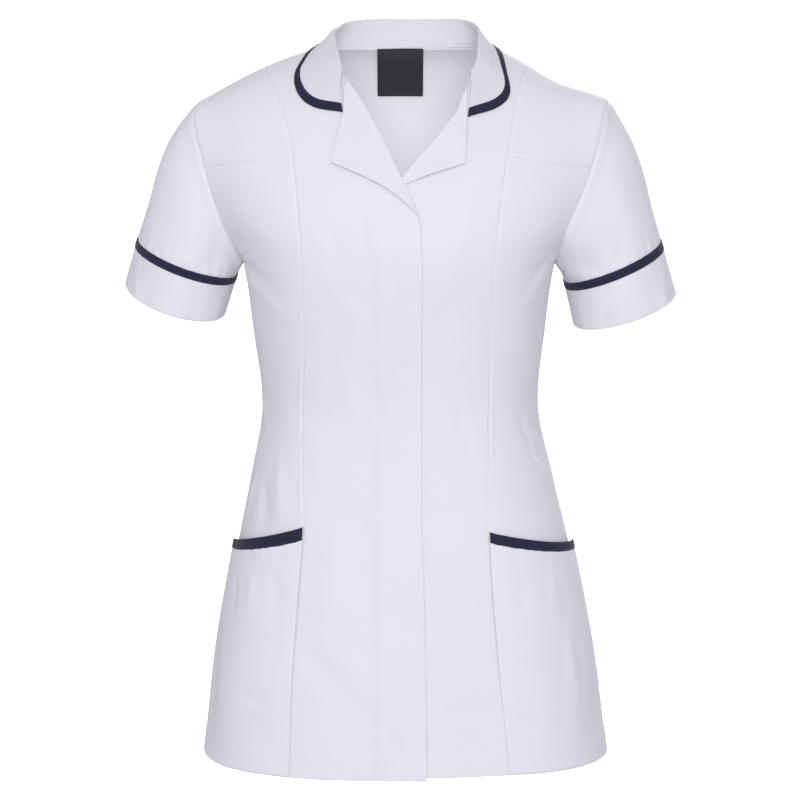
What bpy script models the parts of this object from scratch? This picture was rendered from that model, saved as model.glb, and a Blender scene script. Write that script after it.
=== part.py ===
"""Short-sleeved work tunic, filled out as worn: revere collar, fly front, princess seams, side pockets.

Metres, +Z up, the front faces -Y and the wearer's right side is -X. The origin lies between the two points
where the collar meets the shoulders. A place on the torso is a level, counted in rows of SECTIONS from the
hem, and a distance across. Levels run on over the shoulder seam and down the back.
"""

import math

import bmesh
import bpy
import numpy as np

NAME = "work_tunic"

# Cloth and seams
WALL = 0.0012
SEAM_GAP = 0.0003
LAYER = 0.0018
BINDING_WIDTH = 0.0080
FOLD_WIDTH = 0.0026
MERGE = 0.00002

# Columns and rows of cells in the grids of points, and points round a sleeve
FRONT_COLUMNS = 6
SIDE_FRONT_COLUMNS = 7
YOKE_COLUMNS = 4
LAPEL_ROWS = 8
LAPEL_COLUMNS = 5
POCKET_ROWS = 5
SLEEVE_ROWS = 6
SLEEVE_POINTS = 24
FINE_POINTS = 60

# Torso: a row for each level. Drop is how far a level falls at the shoulder tip, half is half its width,
# shift is its sideways lean, front and back are its depths from the side seam, and square rounds its corners
TIP_REACH = 0.190
SECTIONS = {
    #              height    drop    half    shift    front   back  square
    "hem":        (-0.6640, 0.0000, 0.1910, 0.0005, 0.136, 0.140, 2.6),
    "low_pocket": (-0.5700, 0.0000, 0.1785, -0.0005, 0.129, 0.136, 2.6),
    "pocket":     (-0.4700, 0.0000, 0.1578, -0.0015, 0.118, 0.121, 2.5),
    "high_hip":   (-0.4000, 0.0000, 0.1425, -0.0030, 0.109, 0.100, 2.4),
    "waist":      (-0.3340, 0.0000, 0.1300, -0.0045, 0.105, 0.087, 2.4),
    "ribs":       (-0.2650, 0.0000, 0.1365, -0.0055, 0.117, 0.094, 2.4),
    "underarm":   (-0.1980, 0.0000, 0.1460, -0.0055, 0.132, 0.102, 2.5),
    "bust":       (-0.1580, 0.0050, 0.1660, -0.0055, 0.130, 0.105, 2.5),
    "chest":      (-0.1170, 0.0120, 0.1860, -0.0050, 0.117, 0.104, 2.4),
    "collarbone": (-0.0770, 0.0215, 0.2010, -0.0040, 0.099, 0.099, 2.3),
    "high_chest": (-0.0410, 0.0335, 0.2110, -0.0030, 0.078, 0.088, 2.2),
    "neck":       (-0.0125, 0.0460, 0.2170, -0.0010, 0.054, 0.069, 2.1),
    "crest":      (0.0035, 0.0555, 0.2190, 0.0000, 0.032, 0.044, 2.0),
    "ridge":      (0.0100, 0.0595, 0.2200, 0.0000, 0.015, 0.021, 2.0),
    "shoulder":   (0.0116, 0.0606, 0.2200, 0.0000, 0.000, 0.000, 2.0),
}
# The wearer's left shoulder dips between the collar and the sleeve
DIP_DEPTH = 0.0095
DIP_ACROSS = 0.140
DIP_REACH = 0.032

LEVELS = {name: row for row, name in enumerate(SECTIONS)}
UNDERARM = LEVELS["underarm"]
SHOULDER = LEVELS["shoulder"]

# Armhole: share of the half width at which each level ends, from the underarm to the shoulder tip
ARMHOLE = {
    #              right  left
    "underarm":   (1.000, 1.000),
    "bust":       (0.972, 0.925),
    "chest":      (0.932, 0.903),
    "collarbone": (0.904, 0.877),
    "high_chest": (0.893, 0.860),
    "neck":       (0.887, 0.848),
    "crest":      (0.882, 0.850),
    "ridge":      (0.872, 0.856),
    "shoulder":   (0.864, 0.864),
}

# Princess seams: distance from the centre line at a level
PRINCESS = (
    # level right   left
    (0.0, 0.1063, 0.0965),
    (1.0, 0.1038, 0.0862),
    (1.4, 0.1000, 0.0820),
    (2.0, 0.0948, 0.0775),
    (2.5, 0.0920, 0.0759),
    (3.0, 0.0938, 0.0758),
    (4.0, 0.0945, 0.0764),
    (5.0, 0.0908, 0.0778),
    (6.0, 0.0933, 0.0803),
    (7.0, 0.0956, 0.0838),
    (8.0, 0.0994, 0.0890),
    (9.0, 0.1040, 0.0958),
    (10.0, 0.1138, 0.1008),
    (11.0, 0.1243, 0.1074),
    (12.0, 0.1290, 0.1130),
    (13.0, 0.1305, 0.1155),
    (14.0, 0.1312, 0.1170),
)

# Front edges, across from the centre line towards the wearer's left: placket, lapel roll, neck seam
FRONT_EDGE_RIGHT = (
    (0.0, 0.0196),
    (1.4, 0.0179),
    (2.4, 0.0148),
    (6.2, 0.0146),
    (7.0, 0.0131),
    (7.22, 0.0104),
    (7.75, 0.0006),
    (7.94, -0.0039),
    (8.69, -0.0182),
    (9.50, -0.0345),
    (10.53, -0.0558),
    (11.3, -0.0650),
    (12.2, -0.0690),
    (13.0, -0.0700),
    (14.0, -0.0690),
)
FRONT_EDGE_LEFT = (
    (0.0, -0.0110),
    (3.0, -0.0140),
    (7.2, -0.0150),
    (7.7, -0.0100),
    (7.94, -0.0030),
    (8.30, 0.0090),
    (8.79, 0.0267),
    (9.46, 0.0461),
    (10.33, 0.0571),
    (11.3, 0.0650),
    (12.2, 0.0690),
    (13.0, 0.0700),
    (14.0, 0.0690),
)
YOKE_LEVEL = 8.55
LEFT_HEM_RISE = 0.030

# Levels of the rows of points, the same on both sides of a seam
SKIRT_ROWS = (0.0, 1.0, 2.0)
BODICE_STEP = 0.5

# Fly: where the wearer's right front rises over the left one
FLY_START = -0.036
FLY_FULL = -0.019
FLY_TOP_FULL = 7.9
FLY_TOP_END = 8.5

# Back neckline: how far below the shoulder seam the nape lies, in levels, and its half width
NAPE_DEPTH = 2.0
NAPE_HALF = 0.070
NAPE_SQUARE = 2.6
NAPE_ROWS_FROM = 9.0

# Columns of the back from the neck point to the centre line, as shares of the way, and those to the armhole
NECK_COLUMNS = (0.0, 0.15, 0.35, 0.65, 1.0)
SHOULDER_COLUMNS = 4

# Lapels: the outer edge from the collar to the point, and the end of the roll
LAPELS = {
    #         collar end         collar corner      point              foot of the roll
    "right": ((10.50, -0.0545), (9.52, -0.0545), (8.32, -0.0663), (7.22, 0.0101)),
    "left":  ((10.28, 0.0556), (9.41, 0.0548), (8.29, 0.0531), (7.86, 0.0040)),
}
LAPEL_CORNER_SHARE = 0.42
LAPEL_TOP_SHARE = 0.12

# Collar, from the centre of the back to the front end. Seam is where it joins the neck, stand is the
# vector from the seam to the fold, and edge is where the fall ends. Across is mirrored for the two sides
COLLAR = {
    #              seam           stand    stand_right      stand_left       edge_right      edge_left
    #              level  across  forward  across   up      across   up      level  across   level  across
    "back":       (16.07, 0.0000, 0.0040,  0.0000, 0.0245,  0.0000, 0.0245,  17.35, 0.0000,  17.35, 0.0000),
    "back_neck":  (15.95, 0.0300, 0.0040, -0.0005, 0.0242, -0.0005, 0.0242,  17.15, 0.0350,  17.15, 0.0350),
    "corner":     (15.52, 0.0560, 0.0030, -0.0065, 0.0218, -0.0050, 0.0234,  16.35, 0.0660,  16.35, 0.0660),
    "side":       (14.90, 0.0690, 0.0010, -0.0115, 0.0178, -0.0095, 0.0205,  15.10, 0.0815,  15.10, 0.0815),
    "ridge":      (14.00, 0.0700, 0.0000, -0.0080, 0.0132, -0.0056, 0.0160,  13.60, 0.0832,  14.00, 0.0850),
    "front_side": (12.90, 0.0720, 0.0000, -0.0070, 0.0105, -0.0050, 0.0116,  11.90, 0.0930,  12.40, 0.0885),
    "front":      (12.10, 0.0715, 0.0000, -0.0075, 0.0060, -0.0046, 0.0066,  10.85, 0.1003,  11.10, 0.0915),
    "front_low":  (11.30, 0.0690, 0.0000, -0.0080, 0.0035, -0.0034, 0.0037,  10.15, 0.0955,  10.25, 0.0940),
    "turn":       (10.90, 0.0665, 0.0000, -0.0078, 0.0020, -0.0030, 0.0012,   9.73, 0.0815,   9.75, 0.0820),
    "front_end":  (10.62, 0.0640, 0.0000, -0.0070, 0.0012, -0.0050, 0.0010,   9.52, 0.0562,   9.42, 0.0562),
}

COLLAR_STEPS = 14
FALL_CLEAR = 0.0002
LEAF_SHARES = (0.06, 0.5, 0.96)

# Top of the collar's fold from its inner leaf, in fold widths, and the share of the fall where its turn ends
FOLD_OUT = 0.5
FOLD_RISE = 0.4
FALL_START = 0.03
FALL_COLUMNS = 3

# Sleeves: the armhole's loop runs to an oval at the band, and that to an oval at the hem
SLEEVES = {
    #          centre of oval              half widths    tilt down  tilt back
    "right": {
        "band": ((-0.2055, 0.004, -0.1937), (0.0490, 0.0560), 20.3, 9.0),
        "hem": ((-0.2178, 0.009, -0.2325), (0.0487, 0.0560), 17.5, 15.0),
    },
    "left": {
        "band": ((0.1960, 0.004, -0.1975), (0.0486, 0.0560), 23.0, 7.0),
        "hem": ((0.2085, 0.009, -0.2433), (0.0498, 0.0560), 17.6, 10.0),
    },
}

# How far a sleeve leans out as it leaves the armhole, as the sine of its angle from straight down
LEAN_OUT = {
    #         head  underarm
    "right": (0.80, 0.45),
    "left":  (0.66, 0.45),
}
LEAN_FORWARD = 0.08
UNDERARM_CLEAR = 0.0016
BAND_SHARE = 0.155

# Pockets: levels of the mouth at the princess seam and at the side, and how far they stand off
POCKET_MOUTH_INNER = 2.44
POCKET_MOUTH_SIDE = 2.07
POCKET_BINDING_LEVELS = 0.125
POCKET_STAND_OFF = 0.0033
POCKET_SWELL_START = 0.08
POCKET_SWELL_RUN = 0.50
POCKET_FLAT_LEVEL = 0.3
MOUTH_BEND = 0.8
POCKET_FOOT_LEVEL = 0.01
POCKET_SEAM_LEVELS = 0.004

# Neck label, inside the back, between two rows of the back
LABEL_CENTRE = -0.0045
LABEL_HALF = 0.0220
LABEL_ROWS = (10.75, 13.93)
LABEL_THICKNESS = 0.0006
LABEL_CLEAR = 0.0004

WHITE_CLOTH = ("white_cloth", (0.78, 0.79, 0.84), 0.85)
NAVY_BINDING = ("navy_binding", (0.028, 0.030, 0.068), 0.80)
DARK_LABEL = ("label_weave", (0.025, 0.026, 0.034), 0.70)

SIDES = {"right": -1, "left": 1}
GARMENT_MIDDLE = (0.0, 0.0, -0.3)


def between(rows, place):
    """Smooth value between evenly counted rows."""
    rows = np.asarray(rows, float)
    last = len(rows) - 1
    place = min(max(place, 0.0), last)
    low = min(int(place), last - 1)
    share = place - low
    start, end = rows[low], rows[low + 1]
    before = rows[low - 1] if low > 0 else 2 * start - end
    after = rows[low + 2] if low + 2 <= last else 2 * end - start
    leave, arrive = (end - before) / 2, (after - start) / 2
    return (
        (2 * share**3 - 3 * share**2 + 1) * start
        + (share**3 - 2 * share**2 + share) * leave
        + (3 * share**2 - 2 * share**3) * end
        + (share**3 - share**2) * arrive
    )


def along(table, level, column=1):
    """Value of a column at a level, straight between the table's rows."""
    return float(np.interp(level, [row[0] for row in table], [row[column] for row in table]))


def ease(low, high, value):
    """0 below low, 1 above high, and smooth between them."""
    share = min(max((value - low) / (high - low), 0.0), 1.0)
    return share * share * (3 - 2 * share)


def unit(vector):
    return vector / np.linalg.norm(vector)


def section(level):
    return between(list(SECTIONS.values()), level)


def place(level, turn):
    """Point of the torso's form. Turn is an angle from the centre line, a quarter turn at the side seam."""
    behind = level > SHOULDER
    height, drop, half, shift, front, back, square = section(2 * SHOULDER - level if behind else level)
    reach = math.sin(turn)
    depth = max(0.0, 1 - abs(reach) ** square) ** (1 / square)
    across = shift + half * reach
    fall = (half * reach / TIP_REACH) ** 2
    if across > 0:
        fall += DIP_DEPTH / SECTIONS["shoulder"][1] * math.exp(-(((across - DIP_ACROSS) / DIP_REACH) ** 2))
    return np.array((across, back * depth if behind else -front * depth, height - drop * fall))


def turn_at(level, across):
    """Angle at which a level lies this far from the centre line."""
    _, _, half, shift, _, _, _ = section(2 * SHOULDER - level if level > SHOULDER else level)
    return math.asin(min(max((across - shift) / half, -1.0), 1.0))


def outward(level, turn):
    """Unit normal of the form, pointing out of the garment."""
    step = 0.01
    level = min(max(level, step), 2 * SHOULDER - step)
    if abs(level - SHOULDER) < step:
        level = SHOULDER - step if level <= SHOULDER else SHOULDER + step
    turn = min(max(turn, -math.pi / 2 + step), math.pi / 2 - step)
    sideways = place(level, turn + step) - place(level, turn - step)
    upwards = place(level + step, turn) - place(level - step, turn)
    return unit(np.cross(sideways, upwards))


def on_body(level, turn, lift=0.0):
    """Point of the torso, moved out by lift."""
    return place(level, turn) + lift * outward(level, turn)


def on_body_across(level, across, lift=0.0):
    return on_body(level, turn_at(level, across), lift)


def armhole_turn(level, side):
    """Angle at which the armhole, or below it the side seam, ends a level."""
    if level <= UNDERARM:
        return SIDES[side] * math.pi / 2
    shares = [row[side == "left"] for row in ARMHOLE.values()]
    share = np.interp(level - UNDERARM, range(len(shares)), shares)
    return SIDES[side] * math.asin(share)


def princess_turn(level, side):
    column = 1 if side == "right" else 2
    return turn_at(level, SIDES[side] * along(PRINCESS, level, column))


def front_turn(level, side):
    table = FRONT_EDGE_RIGHT if side == "right" else FRONT_EDGE_LEFT
    return turn_at(level, along(table, level))


def fly_lift(level, turn):
    """How far the wearer's right front rises to pass over the left one."""
    across = place(level, turn)[0]
    return LAYER * ease(FLY_START, FLY_FULL, across) * (1 - ease(FLY_TOP_FULL, FLY_TOP_END, level))


def material(name, colour, roughness):
    found = bpy.data.materials.get(name)
    if found:
        return found
    made = bpy.data.materials.new(name)
    made.use_nodes = True
    shader = made.node_tree.nodes["Principled BSDF"]
    shader.inputs["Base Color"].default_value = (*colour, 1)
    shader.inputs["Roughness"].default_value = roughness
    shader.inputs["Metallic"].default_value = 0
    return made


def cloth(name, points, finish, wall=WALL, closed=False):
    """A piece of cloth through rows of points, given a wall half to each side."""
    rows, columns = len(points), len(points[0])
    sheet = bmesh.new()
    made = bmesh.ops.create_grid(sheet, x_segments=columns - 1, y_segments=rows - 1, size=1)
    ordered = sorted(made["verts"], key=lambda corner: (round(corner.co.y, 4), round(corner.co.x, 4)))
    for corner, point in zip(ordered, (point for row in points for point in row)):
        corner.co = point
    if closed:
        bmesh.ops.remove_doubles(sheet, verts=sheet.verts, dist=MERGE)
    mesh = bpy.data.meshes.new(name)
    sheet.to_mesh(mesh)
    sheet.free()
    mesh.shade_smooth()
    mesh.materials.append(material(*finish))
    piece = bpy.data.objects.new(name, mesh)
    bpy.data.collections[NAME].objects.link(piece)
    thicken = piece.modifiers.new("wall", "SOLIDIFY")
    thicken.thickness = wall
    thicken.offset = 0
    thicken.use_quality_normals = True
    return piece


def trimmed(points):
    """The same rows with every edge drawn in by half a seam gap."""
    gap = SEAM_GAP / 2
    points = np.array(points)
    for edge, inner in ((0, 1), (-1, -2)):
        row = points[inner] - points[edge]
        points[edge] = points[edge] + gap * row / np.linalg.norm(row, axis=1, keepdims=True)
    for edge, inner in ((0, 1), (-1, -2)):
        column = points[:, inner] - points[:, edge]
        points[:, edge] = points[:, edge] + gap * column / np.linalg.norm(column, axis=1, keepdims=True)
    return points


def panel(levels, start, end, lift=None):
    """Rows of points on the torso at a grid of levels, between two seam lines.

    start and end give the turn of their line at a level. lift gives a height at a level, a turn and a share
    of the way from start to end.
    """
    points = []
    for line in levels:
        row = []
        for share, level in zip(np.linspace(0, 1, len(line)), line):
            turn = start(level) + (end(level) - start(level)) * share
            row.append(on_body(level, turn, lift(level, turn, share) if lift else 0.0))
        points.append(row)
    return points


def row_levels(low, high):
    """Levels of the rows of points from low to high."""
    bodice = np.arange(SKIRT_ROWS[-1] + BODICE_STEP, SHOULDER + BODICE_STEP / 2, BODICE_STEP)
    bodice[np.argmin(abs(bodice - YOKE_LEVEL))] = YOKE_LEVEL
    every = np.concatenate([SKIRT_ROWS, bodice])
    return every[(every >= low) & (every <= high)]


def level_grid(low, high, columns):
    return np.repeat(row_levels(low, high)[:, None], columns + 1, axis=1)


def hem_level(side):
    return LEFT_HEM_RISE if side == "left" else 0.0


def centre_fronts():
    for side in SIDES:
        levels = level_grid(0, SHOULDER, FRONT_COLUMNS)
        levels[0] = hem_level(side)
        points = panel(
            levels,
            start=lambda level: princess_turn(level, side),
            end=lambda level: front_turn(level, side),
            lift=lambda level, turn, share: fly_lift(level, turn) if side == "right" else 0.0,
        )
        cloth(f"front_{side}", trimmed(points), WHITE_CLOTH)


def side_seams(side):
    """Lines of the princess seam and the armhole or side seam."""
    return (
        lambda level: princess_turn(level, side),
        lambda level: armhole_turn(level, side),
    )


def side_fronts():
    for side in SIDES:
        levels = level_grid(0, YOKE_LEVEL, SIDE_FRONT_COLUMNS)
        levels[0] = hem_level(side) * np.linspace(1, 0, SIDE_FRONT_COLUMNS + 1)
        cloth(f"side_front_{side}", trimmed(panel(levels, *side_seams(side))), WHITE_CLOTH)


def yokes():
    for side in SIDES:
        levels = level_grid(YOKE_LEVEL, SHOULDER, YOKE_COLUMNS)
        cloth(f"yoke_{side}", trimmed(panel(levels, *side_seams(side))), WHITE_CLOTH)


def nape_level(across):
    """Level of the back neckline, counted down from the shoulder seam."""
    share = min(abs(across) / NAPE_HALF, 1.0)
    return SHOULDER - NAPE_DEPTH * (1 - share**NAPE_SQUARE) ** (1 / NAPE_SQUARE)


def back_turn(level, share):
    """Angle on the back for a share from 0 at the wearer's right to 1 at the left."""
    right, left = armhole_turn(level, "right"), armhole_turn(level, "left")
    return right + (left - right) * share


def back_shares():
    """Shares across of the back's columns, one of them at each neck point."""
    armhole = armhole_turn(SHOULDER, "left")
    neck = 0.5 - turn_at(SHOULDER, NAPE_HALF) / armhole / 2
    half = [neck * column / SHOULDER_COLUMNS for column in range(SHOULDER_COLUMNS)]
    half += [neck + (0.5 - neck) * column for column in NECK_COLUMNS]
    return np.array(half + [1 - share for share in half[-2::-1]])


def back_points():
    """Rows of points from the hem to the neckline, the highest rows drawn down with the neckline."""
    shares = back_shares()
    points = []
    for row_level in row_levels(0, SHOULDER):
        line = []
        for share in shares:
            top = nape_level(place(SHOULDER, back_turn(SHOULDER, share))[0])
            drawn = (row_level - NAPE_ROWS_FROM) * (top - NAPE_ROWS_FROM) / (SHOULDER - NAPE_ROWS_FROM)
            level = NAPE_ROWS_FROM + drawn if row_level > NAPE_ROWS_FROM else row_level
            line.append(on_body(2 * SHOULDER - level, back_turn(level, share)))
        points.append(line)
    return points


def back():
    cloth("back", trimmed(back_points()), WHITE_CLOTH)


def blend(grid, stops):
    """Rows of a grid at fractional places, straight between its own rows."""
    lows = np.minimum(np.floor(stops).astype(int), len(grid) - 2)
    shares = (np.asarray(stops) - lows)[:, None, None]
    return grid[lows] * (1 - shares) + grid[lows + 1] * shares


def moved_out(points, distance):
    """The same rows of points moved square to their sheet, away from the middle of the garment."""
    grid = np.asarray(points)
    normals = np.cross(np.gradient(grid, axis=1), np.gradient(grid, axis=0))
    normals /= np.linalg.norm(normals, axis=2, keepdims=True)
    away = np.sign(np.sum(normals * (grid - GARMENT_MIDDLE), axis=2, keepdims=True))
    return grid + distance * away * normals


def neck_label():
    """Laid inside the back, on its points."""
    grid = np.array(back_points())
    rows = np.interp(LABEL_ROWS, row_levels(0, SHOULDER), range(len(grid)))
    rows = np.unique(np.concatenate([[rows[0], rows[1]], np.arange(math.ceil(rows[0]), rows[1])]))
    middle = grid[math.ceil(rows[0]), :, 0]
    edge = np.interp((LABEL_CENTRE - LABEL_HALF, LABEL_CENTRE + LABEL_HALF), middle, range(len(middle)))
    columns = np.concatenate([[edge[0]], np.arange(math.ceil(edge[0]), edge[1]), [edge[1]]])
    points = blend(blend(grid, rows).transpose(1, 0, 2), columns).transpose(1, 0, 2)
    inside = WALL / 2 + LABEL_CLEAR + LABEL_THICKNESS / 2
    cloth("neck_label", moved_out(points, -inside), DARK_LABEL, LABEL_THICKNESS)


def lapel_points(side):
    """Rows of points from the collar down, each from the roll to the outer edge."""
    collar_end, corner, point, foot = LAPELS[side]
    outer = ((0.0, *collar_end), (LAPEL_CORNER_SHARE, *corner), (1.0, *point))
    table = FRONT_EDGE_RIGHT if side == "right" else FRONT_EDGE_LEFT
    points = []
    for share in np.linspace(0, 1, LAPEL_ROWS + 1):
        roll_level = collar_end[0] + (foot[0] - collar_end[0]) * share
        roll = along(table, roll_level) + SIDES[side] * SEAM_GAP
        if side == "left":
            roll = max(roll, foot[1])
        level_out, across_out = along(outer, share, 1), along(outer, share, 2)
        line = []
        for part in np.linspace(0, 1, LAPEL_COLUMNS + 1):
            level = roll_level + (level_out - roll_level) * part
            across = roll + (across_out - roll) * part
            turn = turn_at(level, across)
            lift = LAYER + (fly_lift(level, turn) if side == "right" else 0.0)
            line.append(on_body(level, turn, lift))
        points.append(line)
    corner, reach = points[0][0], (points[1][-1] - points[0][0]) * LAPEL_TOP_SHARE
    points[0] = [corner + reach * part for part in np.linspace(0, 1, LAPEL_COLUMNS + 1)]
    return points


def lapels():
    for side in SIDES:
        cloth(f"lapel_{side}", lapel_points(side), WHITE_CLOTH)


def collar_stations():
    """Rows of COLLAR spread smoothly, right front end to left front end, as (side, values)."""
    table = list(COLLAR.values())
    last = len(table) - 1
    return [
        ("right" if step < 0 else "left", between(table, abs(step) / COLLAR_STEPS * last))
        for step in range(-COLLAR_STEPS, COLLAR_STEPS + 1)
    ]


def collar_stand(side, row):
    """Vector from the neck seam to the fold."""
    across, up = row[3:5] if side == "right" else row[5:7]
    return np.array((SIDES[side] * across, -row[2], up))


def fold_outward(side, row):
    """Direction from the collar's inner leaf to its fall, square to the stand."""
    stand = unit(collar_stand(side, row))
    normal = outward(row[0], turn_at(row[0], SIDES[side] * row[1]))
    return unit(normal - normal.dot(stand) * stand)


def collar_leaf(side, row, share):
    """Point of the collar's inner leaf, from share 0 at the neck seam to 1 at the fold."""
    seam = on_body_across(row[0], SIDES[side] * row[1], LAYER)
    return seam + share * collar_stand(side, row)


def collar_fall(side, row, share):
    """Point of the collar's fall, from share 0 at the fold to 1 at its outer edge."""
    seam_level, seam_across = row[:2]
    edge_level, edge_across = row[7:9] if side == "right" else row[9:11]
    level = seam_level + (edge_level - seam_level) * share
    across = SIDES[side] * (seam_across + (edge_across - seam_across) * share)
    base = on_body_across(level, across, LAYER + FALL_CLEAR)
    return base + (1 - share) ** 2 * (collar_stand(side, row) + FOLD_WIDTH * fold_outward(side, row))


def fall_line(side, row):
    """Points down the fall, spread evenly to the binding's inner edge, and the outer edge."""
    fine = np.array([collar_fall(side, row, share) for share in np.linspace(FALL_START, 1, FINE_POINTS)])
    run = np.concatenate([[0], np.cumsum(np.linalg.norm(np.diff(fine, axis=0), axis=1))])
    inner = run[-1] - BINDING_WIDTH
    stops = np.concatenate([np.linspace(0, inner, FALL_COLUMNS + 1), [run[-1]]])
    return [np.array([np.interp(stop, run, fine[:, axis]) for axis in range(3)]) for stop in stops]


def collar_points():
    points = []
    for side, row in collar_stations():
        top = collar_leaf(side, row, 1.0) + FOLD_OUT * FOLD_WIDTH * fold_outward(side, row)
        rise = FOLD_RISE * FOLD_WIDTH * unit(collar_stand(side, row))
        leaf = [collar_leaf(side, row, share) for share in LEAF_SHARES]
        points.append(leaf + [top + rise] + fall_line(side, row))
    return np.array(points)


def collar():
    cloth("collar", collar_points(), WHITE_CLOTH)


def collar_binding():
    """Laid on the outermost strip of the collar's fall."""
    cloth("collar_binding", moved_out(collar_points(), LAYER)[:, -2:], NAVY_BINDING)


def oval(side, name, angle, grow=0.0):
    """Point of a sleeve's oval. Angle 0 is its outer side, and a quarter turn its front."""
    centre, halves, tilt_down, tilt_back = SLEEVES[side][name]
    sign = SIDES[side]
    down, rear = math.radians(tilt_down), math.radians(tilt_back)
    outer = np.array((sign * math.cos(down), 0, math.sin(down)))
    front = np.array((0, -math.cos(rear), -math.sin(rear)))
    return (
        np.array(centre)
        + (halves[0] + grow) * math.cos(angle) * outer
        + (halves[1] + grow) * math.sin(angle) * front
    )


def sleeve_end(side):
    """Vector from the middle of the band's top edge to the middle of the sleeve's hem."""
    return np.array(SLEEVES[side]["hem"][0]) - np.array(SLEEVES[side]["band"][0])


def sleeve_angles():
    return np.linspace(0, 2 * math.pi, SLEEVE_POINTS + 1)


def armhole_half(side, levels):
    """Points evenly along the armhole between the first and the last of these levels."""
    front_levels = np.minimum(levels, 2 * SHOULDER - levels)
    fine = [place(level, armhole_turn(seam, side)) for level, seam in zip(levels, front_levels)]
    run = np.concatenate([[0], np.cumsum(np.linalg.norm(np.diff(fine, axis=0), axis=1))])
    stops = np.linspace(0, run[-1], SLEEVE_POINTS // 2 + 1)
    return np.stack([np.interp(stops, run, values) for values in np.transpose(fine)], axis=1)


def sleeve_start(side):
    """Armhole from the shoulder tip down the front and up the back, moved out to clear the torso."""
    front = armhole_half(side, np.linspace(SHOULDER, UNDERARM, FINE_POINTS))
    behind = armhole_half(side, np.linspace(2 * SHOULDER - UNDERARM, SHOULDER, FINE_POINTS))
    clear = SEAM_GAP + UNDERARM_CLEAR * (1 - np.cos(sleeve_angles())) / 2
    return np.concatenate([front, behind[1:]]) + np.outer(clear, (SIDES[side], 0, 0))


def sleeve_points(side):
    """Rows of points from the armhole to the band."""
    head, under = LEAN_OUT[side]
    points = []
    for share in np.linspace(0, 1, SLEEVE_ROWS + 1):
        line = []
        for angle, first in zip(sleeve_angles(), sleeve_start(side)):
            last = oval(side, "band", angle)
            reach = np.linalg.norm(last - first)
            out = under + (head - under) * (1 + math.cos(angle)) / 2
            way = (SIDES[side] * out, -LEAN_FORWARD * math.sin(angle), -math.sqrt(1 - out * out))
            leave = reach * unit(np.array(way))
            arrive = reach * unit(sleeve_end(side))
            line.append(
                (2 * share**3 - 3 * share**2 + 1) * first
                + (share**3 - 2 * share**2 + share) * leave
                + (3 * share**2 - 2 * share**3) * last
                + (share**3 - share**2) * arrive
            )
        points.append(line)
    return points


def cuff_row(side, share, grow):
    """Row of points round the sleeve, from share 0 at the band's top edge to 1 at the sleeve's hem."""
    return [
        (1 - share) * oval(side, "band", angle, grow) + share * oval(side, "hem", angle, grow)
        for angle in sleeve_angles()
    ]


def sleeves():
    for side in SIDES:
        points = sleeve_points(side) + [cuff_row(side, BAND_SHARE, 0.0)]
        cloth(f"sleeve_{side}", points, WHITE_CLOTH, closed=True)


def sleeve_bands():
    for side in SIDES:
        points = [cuff_row(side, share, LAYER) for share in (0.0, BAND_SHARE)]
        cloth(f"sleeve_band_{side}", points, NAVY_BINDING, closed=True)


def cuffs():
    for side in SIDES:
        top = BAND_SHARE + 2 * SEAM_GAP / np.linalg.norm(sleeve_end(side))
        points = [cuff_row(side, share, LAYER / 2) for share in (top, (1 + BAND_SHARE) / 2, 1.0)]
        cloth(f"cuff_{side}", points, WHITE_CLOTH, closed=True)


def mouth_level(share):
    """Level of a pocket's mouth, from share 0 at the princess seam to 1 at the side seam."""
    return POCKET_MOUTH_INNER + (POCKET_MOUTH_SIDE - POCKET_MOUTH_INNER) * share**MOUTH_BEND


def pocket_lift(level, _turn, share):
    """Height over the side front: flat where it is sewn, standing off at the mouth."""
    swell = math.sin(math.pi * (POCKET_SWELL_START + POCKET_SWELL_RUN * share))
    return LAYER + POCKET_STAND_OFF * swell * ease(POCKET_FLAT_LEVEL, POCKET_MOUTH_SIDE, level)


def pockets():
    shares = np.linspace(0, 1, SIDE_FRONT_COLUMNS + 1)
    mouth = mouth_level(shares)
    foot = mouth - POCKET_BINDING_LEVELS
    for side in SIDES:
        hem = hem_level(side) * (1 - shares) + POCKET_FOOT_LEVEL
        levels = np.linspace(hem, foot - POCKET_SEAM_LEVELS, POCKET_ROWS + 1)
        cloth(f"pocket_{side}", trimmed(panel(levels, *side_seams(side), pocket_lift)), WHITE_CLOTH)
        points = panel(np.array([foot, mouth]), *side_seams(side), pocket_lift)
        cloth(f"pocket_binding_{side}", trimmed(points), NAVY_BINDING)


def clear_scene():
    for thing in list(bpy.data.objects):
        bpy.data.objects.remove(thing, do_unlink=True)
    collection = bpy.data.collections.new(NAME)
    bpy.context.scene.collection.children.link(collection)


def main():
    clear_scene()
    centre_fronts()
    side_fronts()
    yokes()
    back()
    lapels()
    collar()
    collar_binding()
    neck_label()
    sleeves()
    sleeve_bands()
    cuffs()
    pockets()


main()
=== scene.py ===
"""Looks of a short-sleeved white work tunic with navy bindings, filled out as worn.

Metres, +Z up, the front faces -Y and the wearer's right side is -X. Each piece of cloth is a fine sheet on the
form of its solid. Its seams, folds and stitches are worked into the sheet before it is given its thickness.
"""

import math

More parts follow.
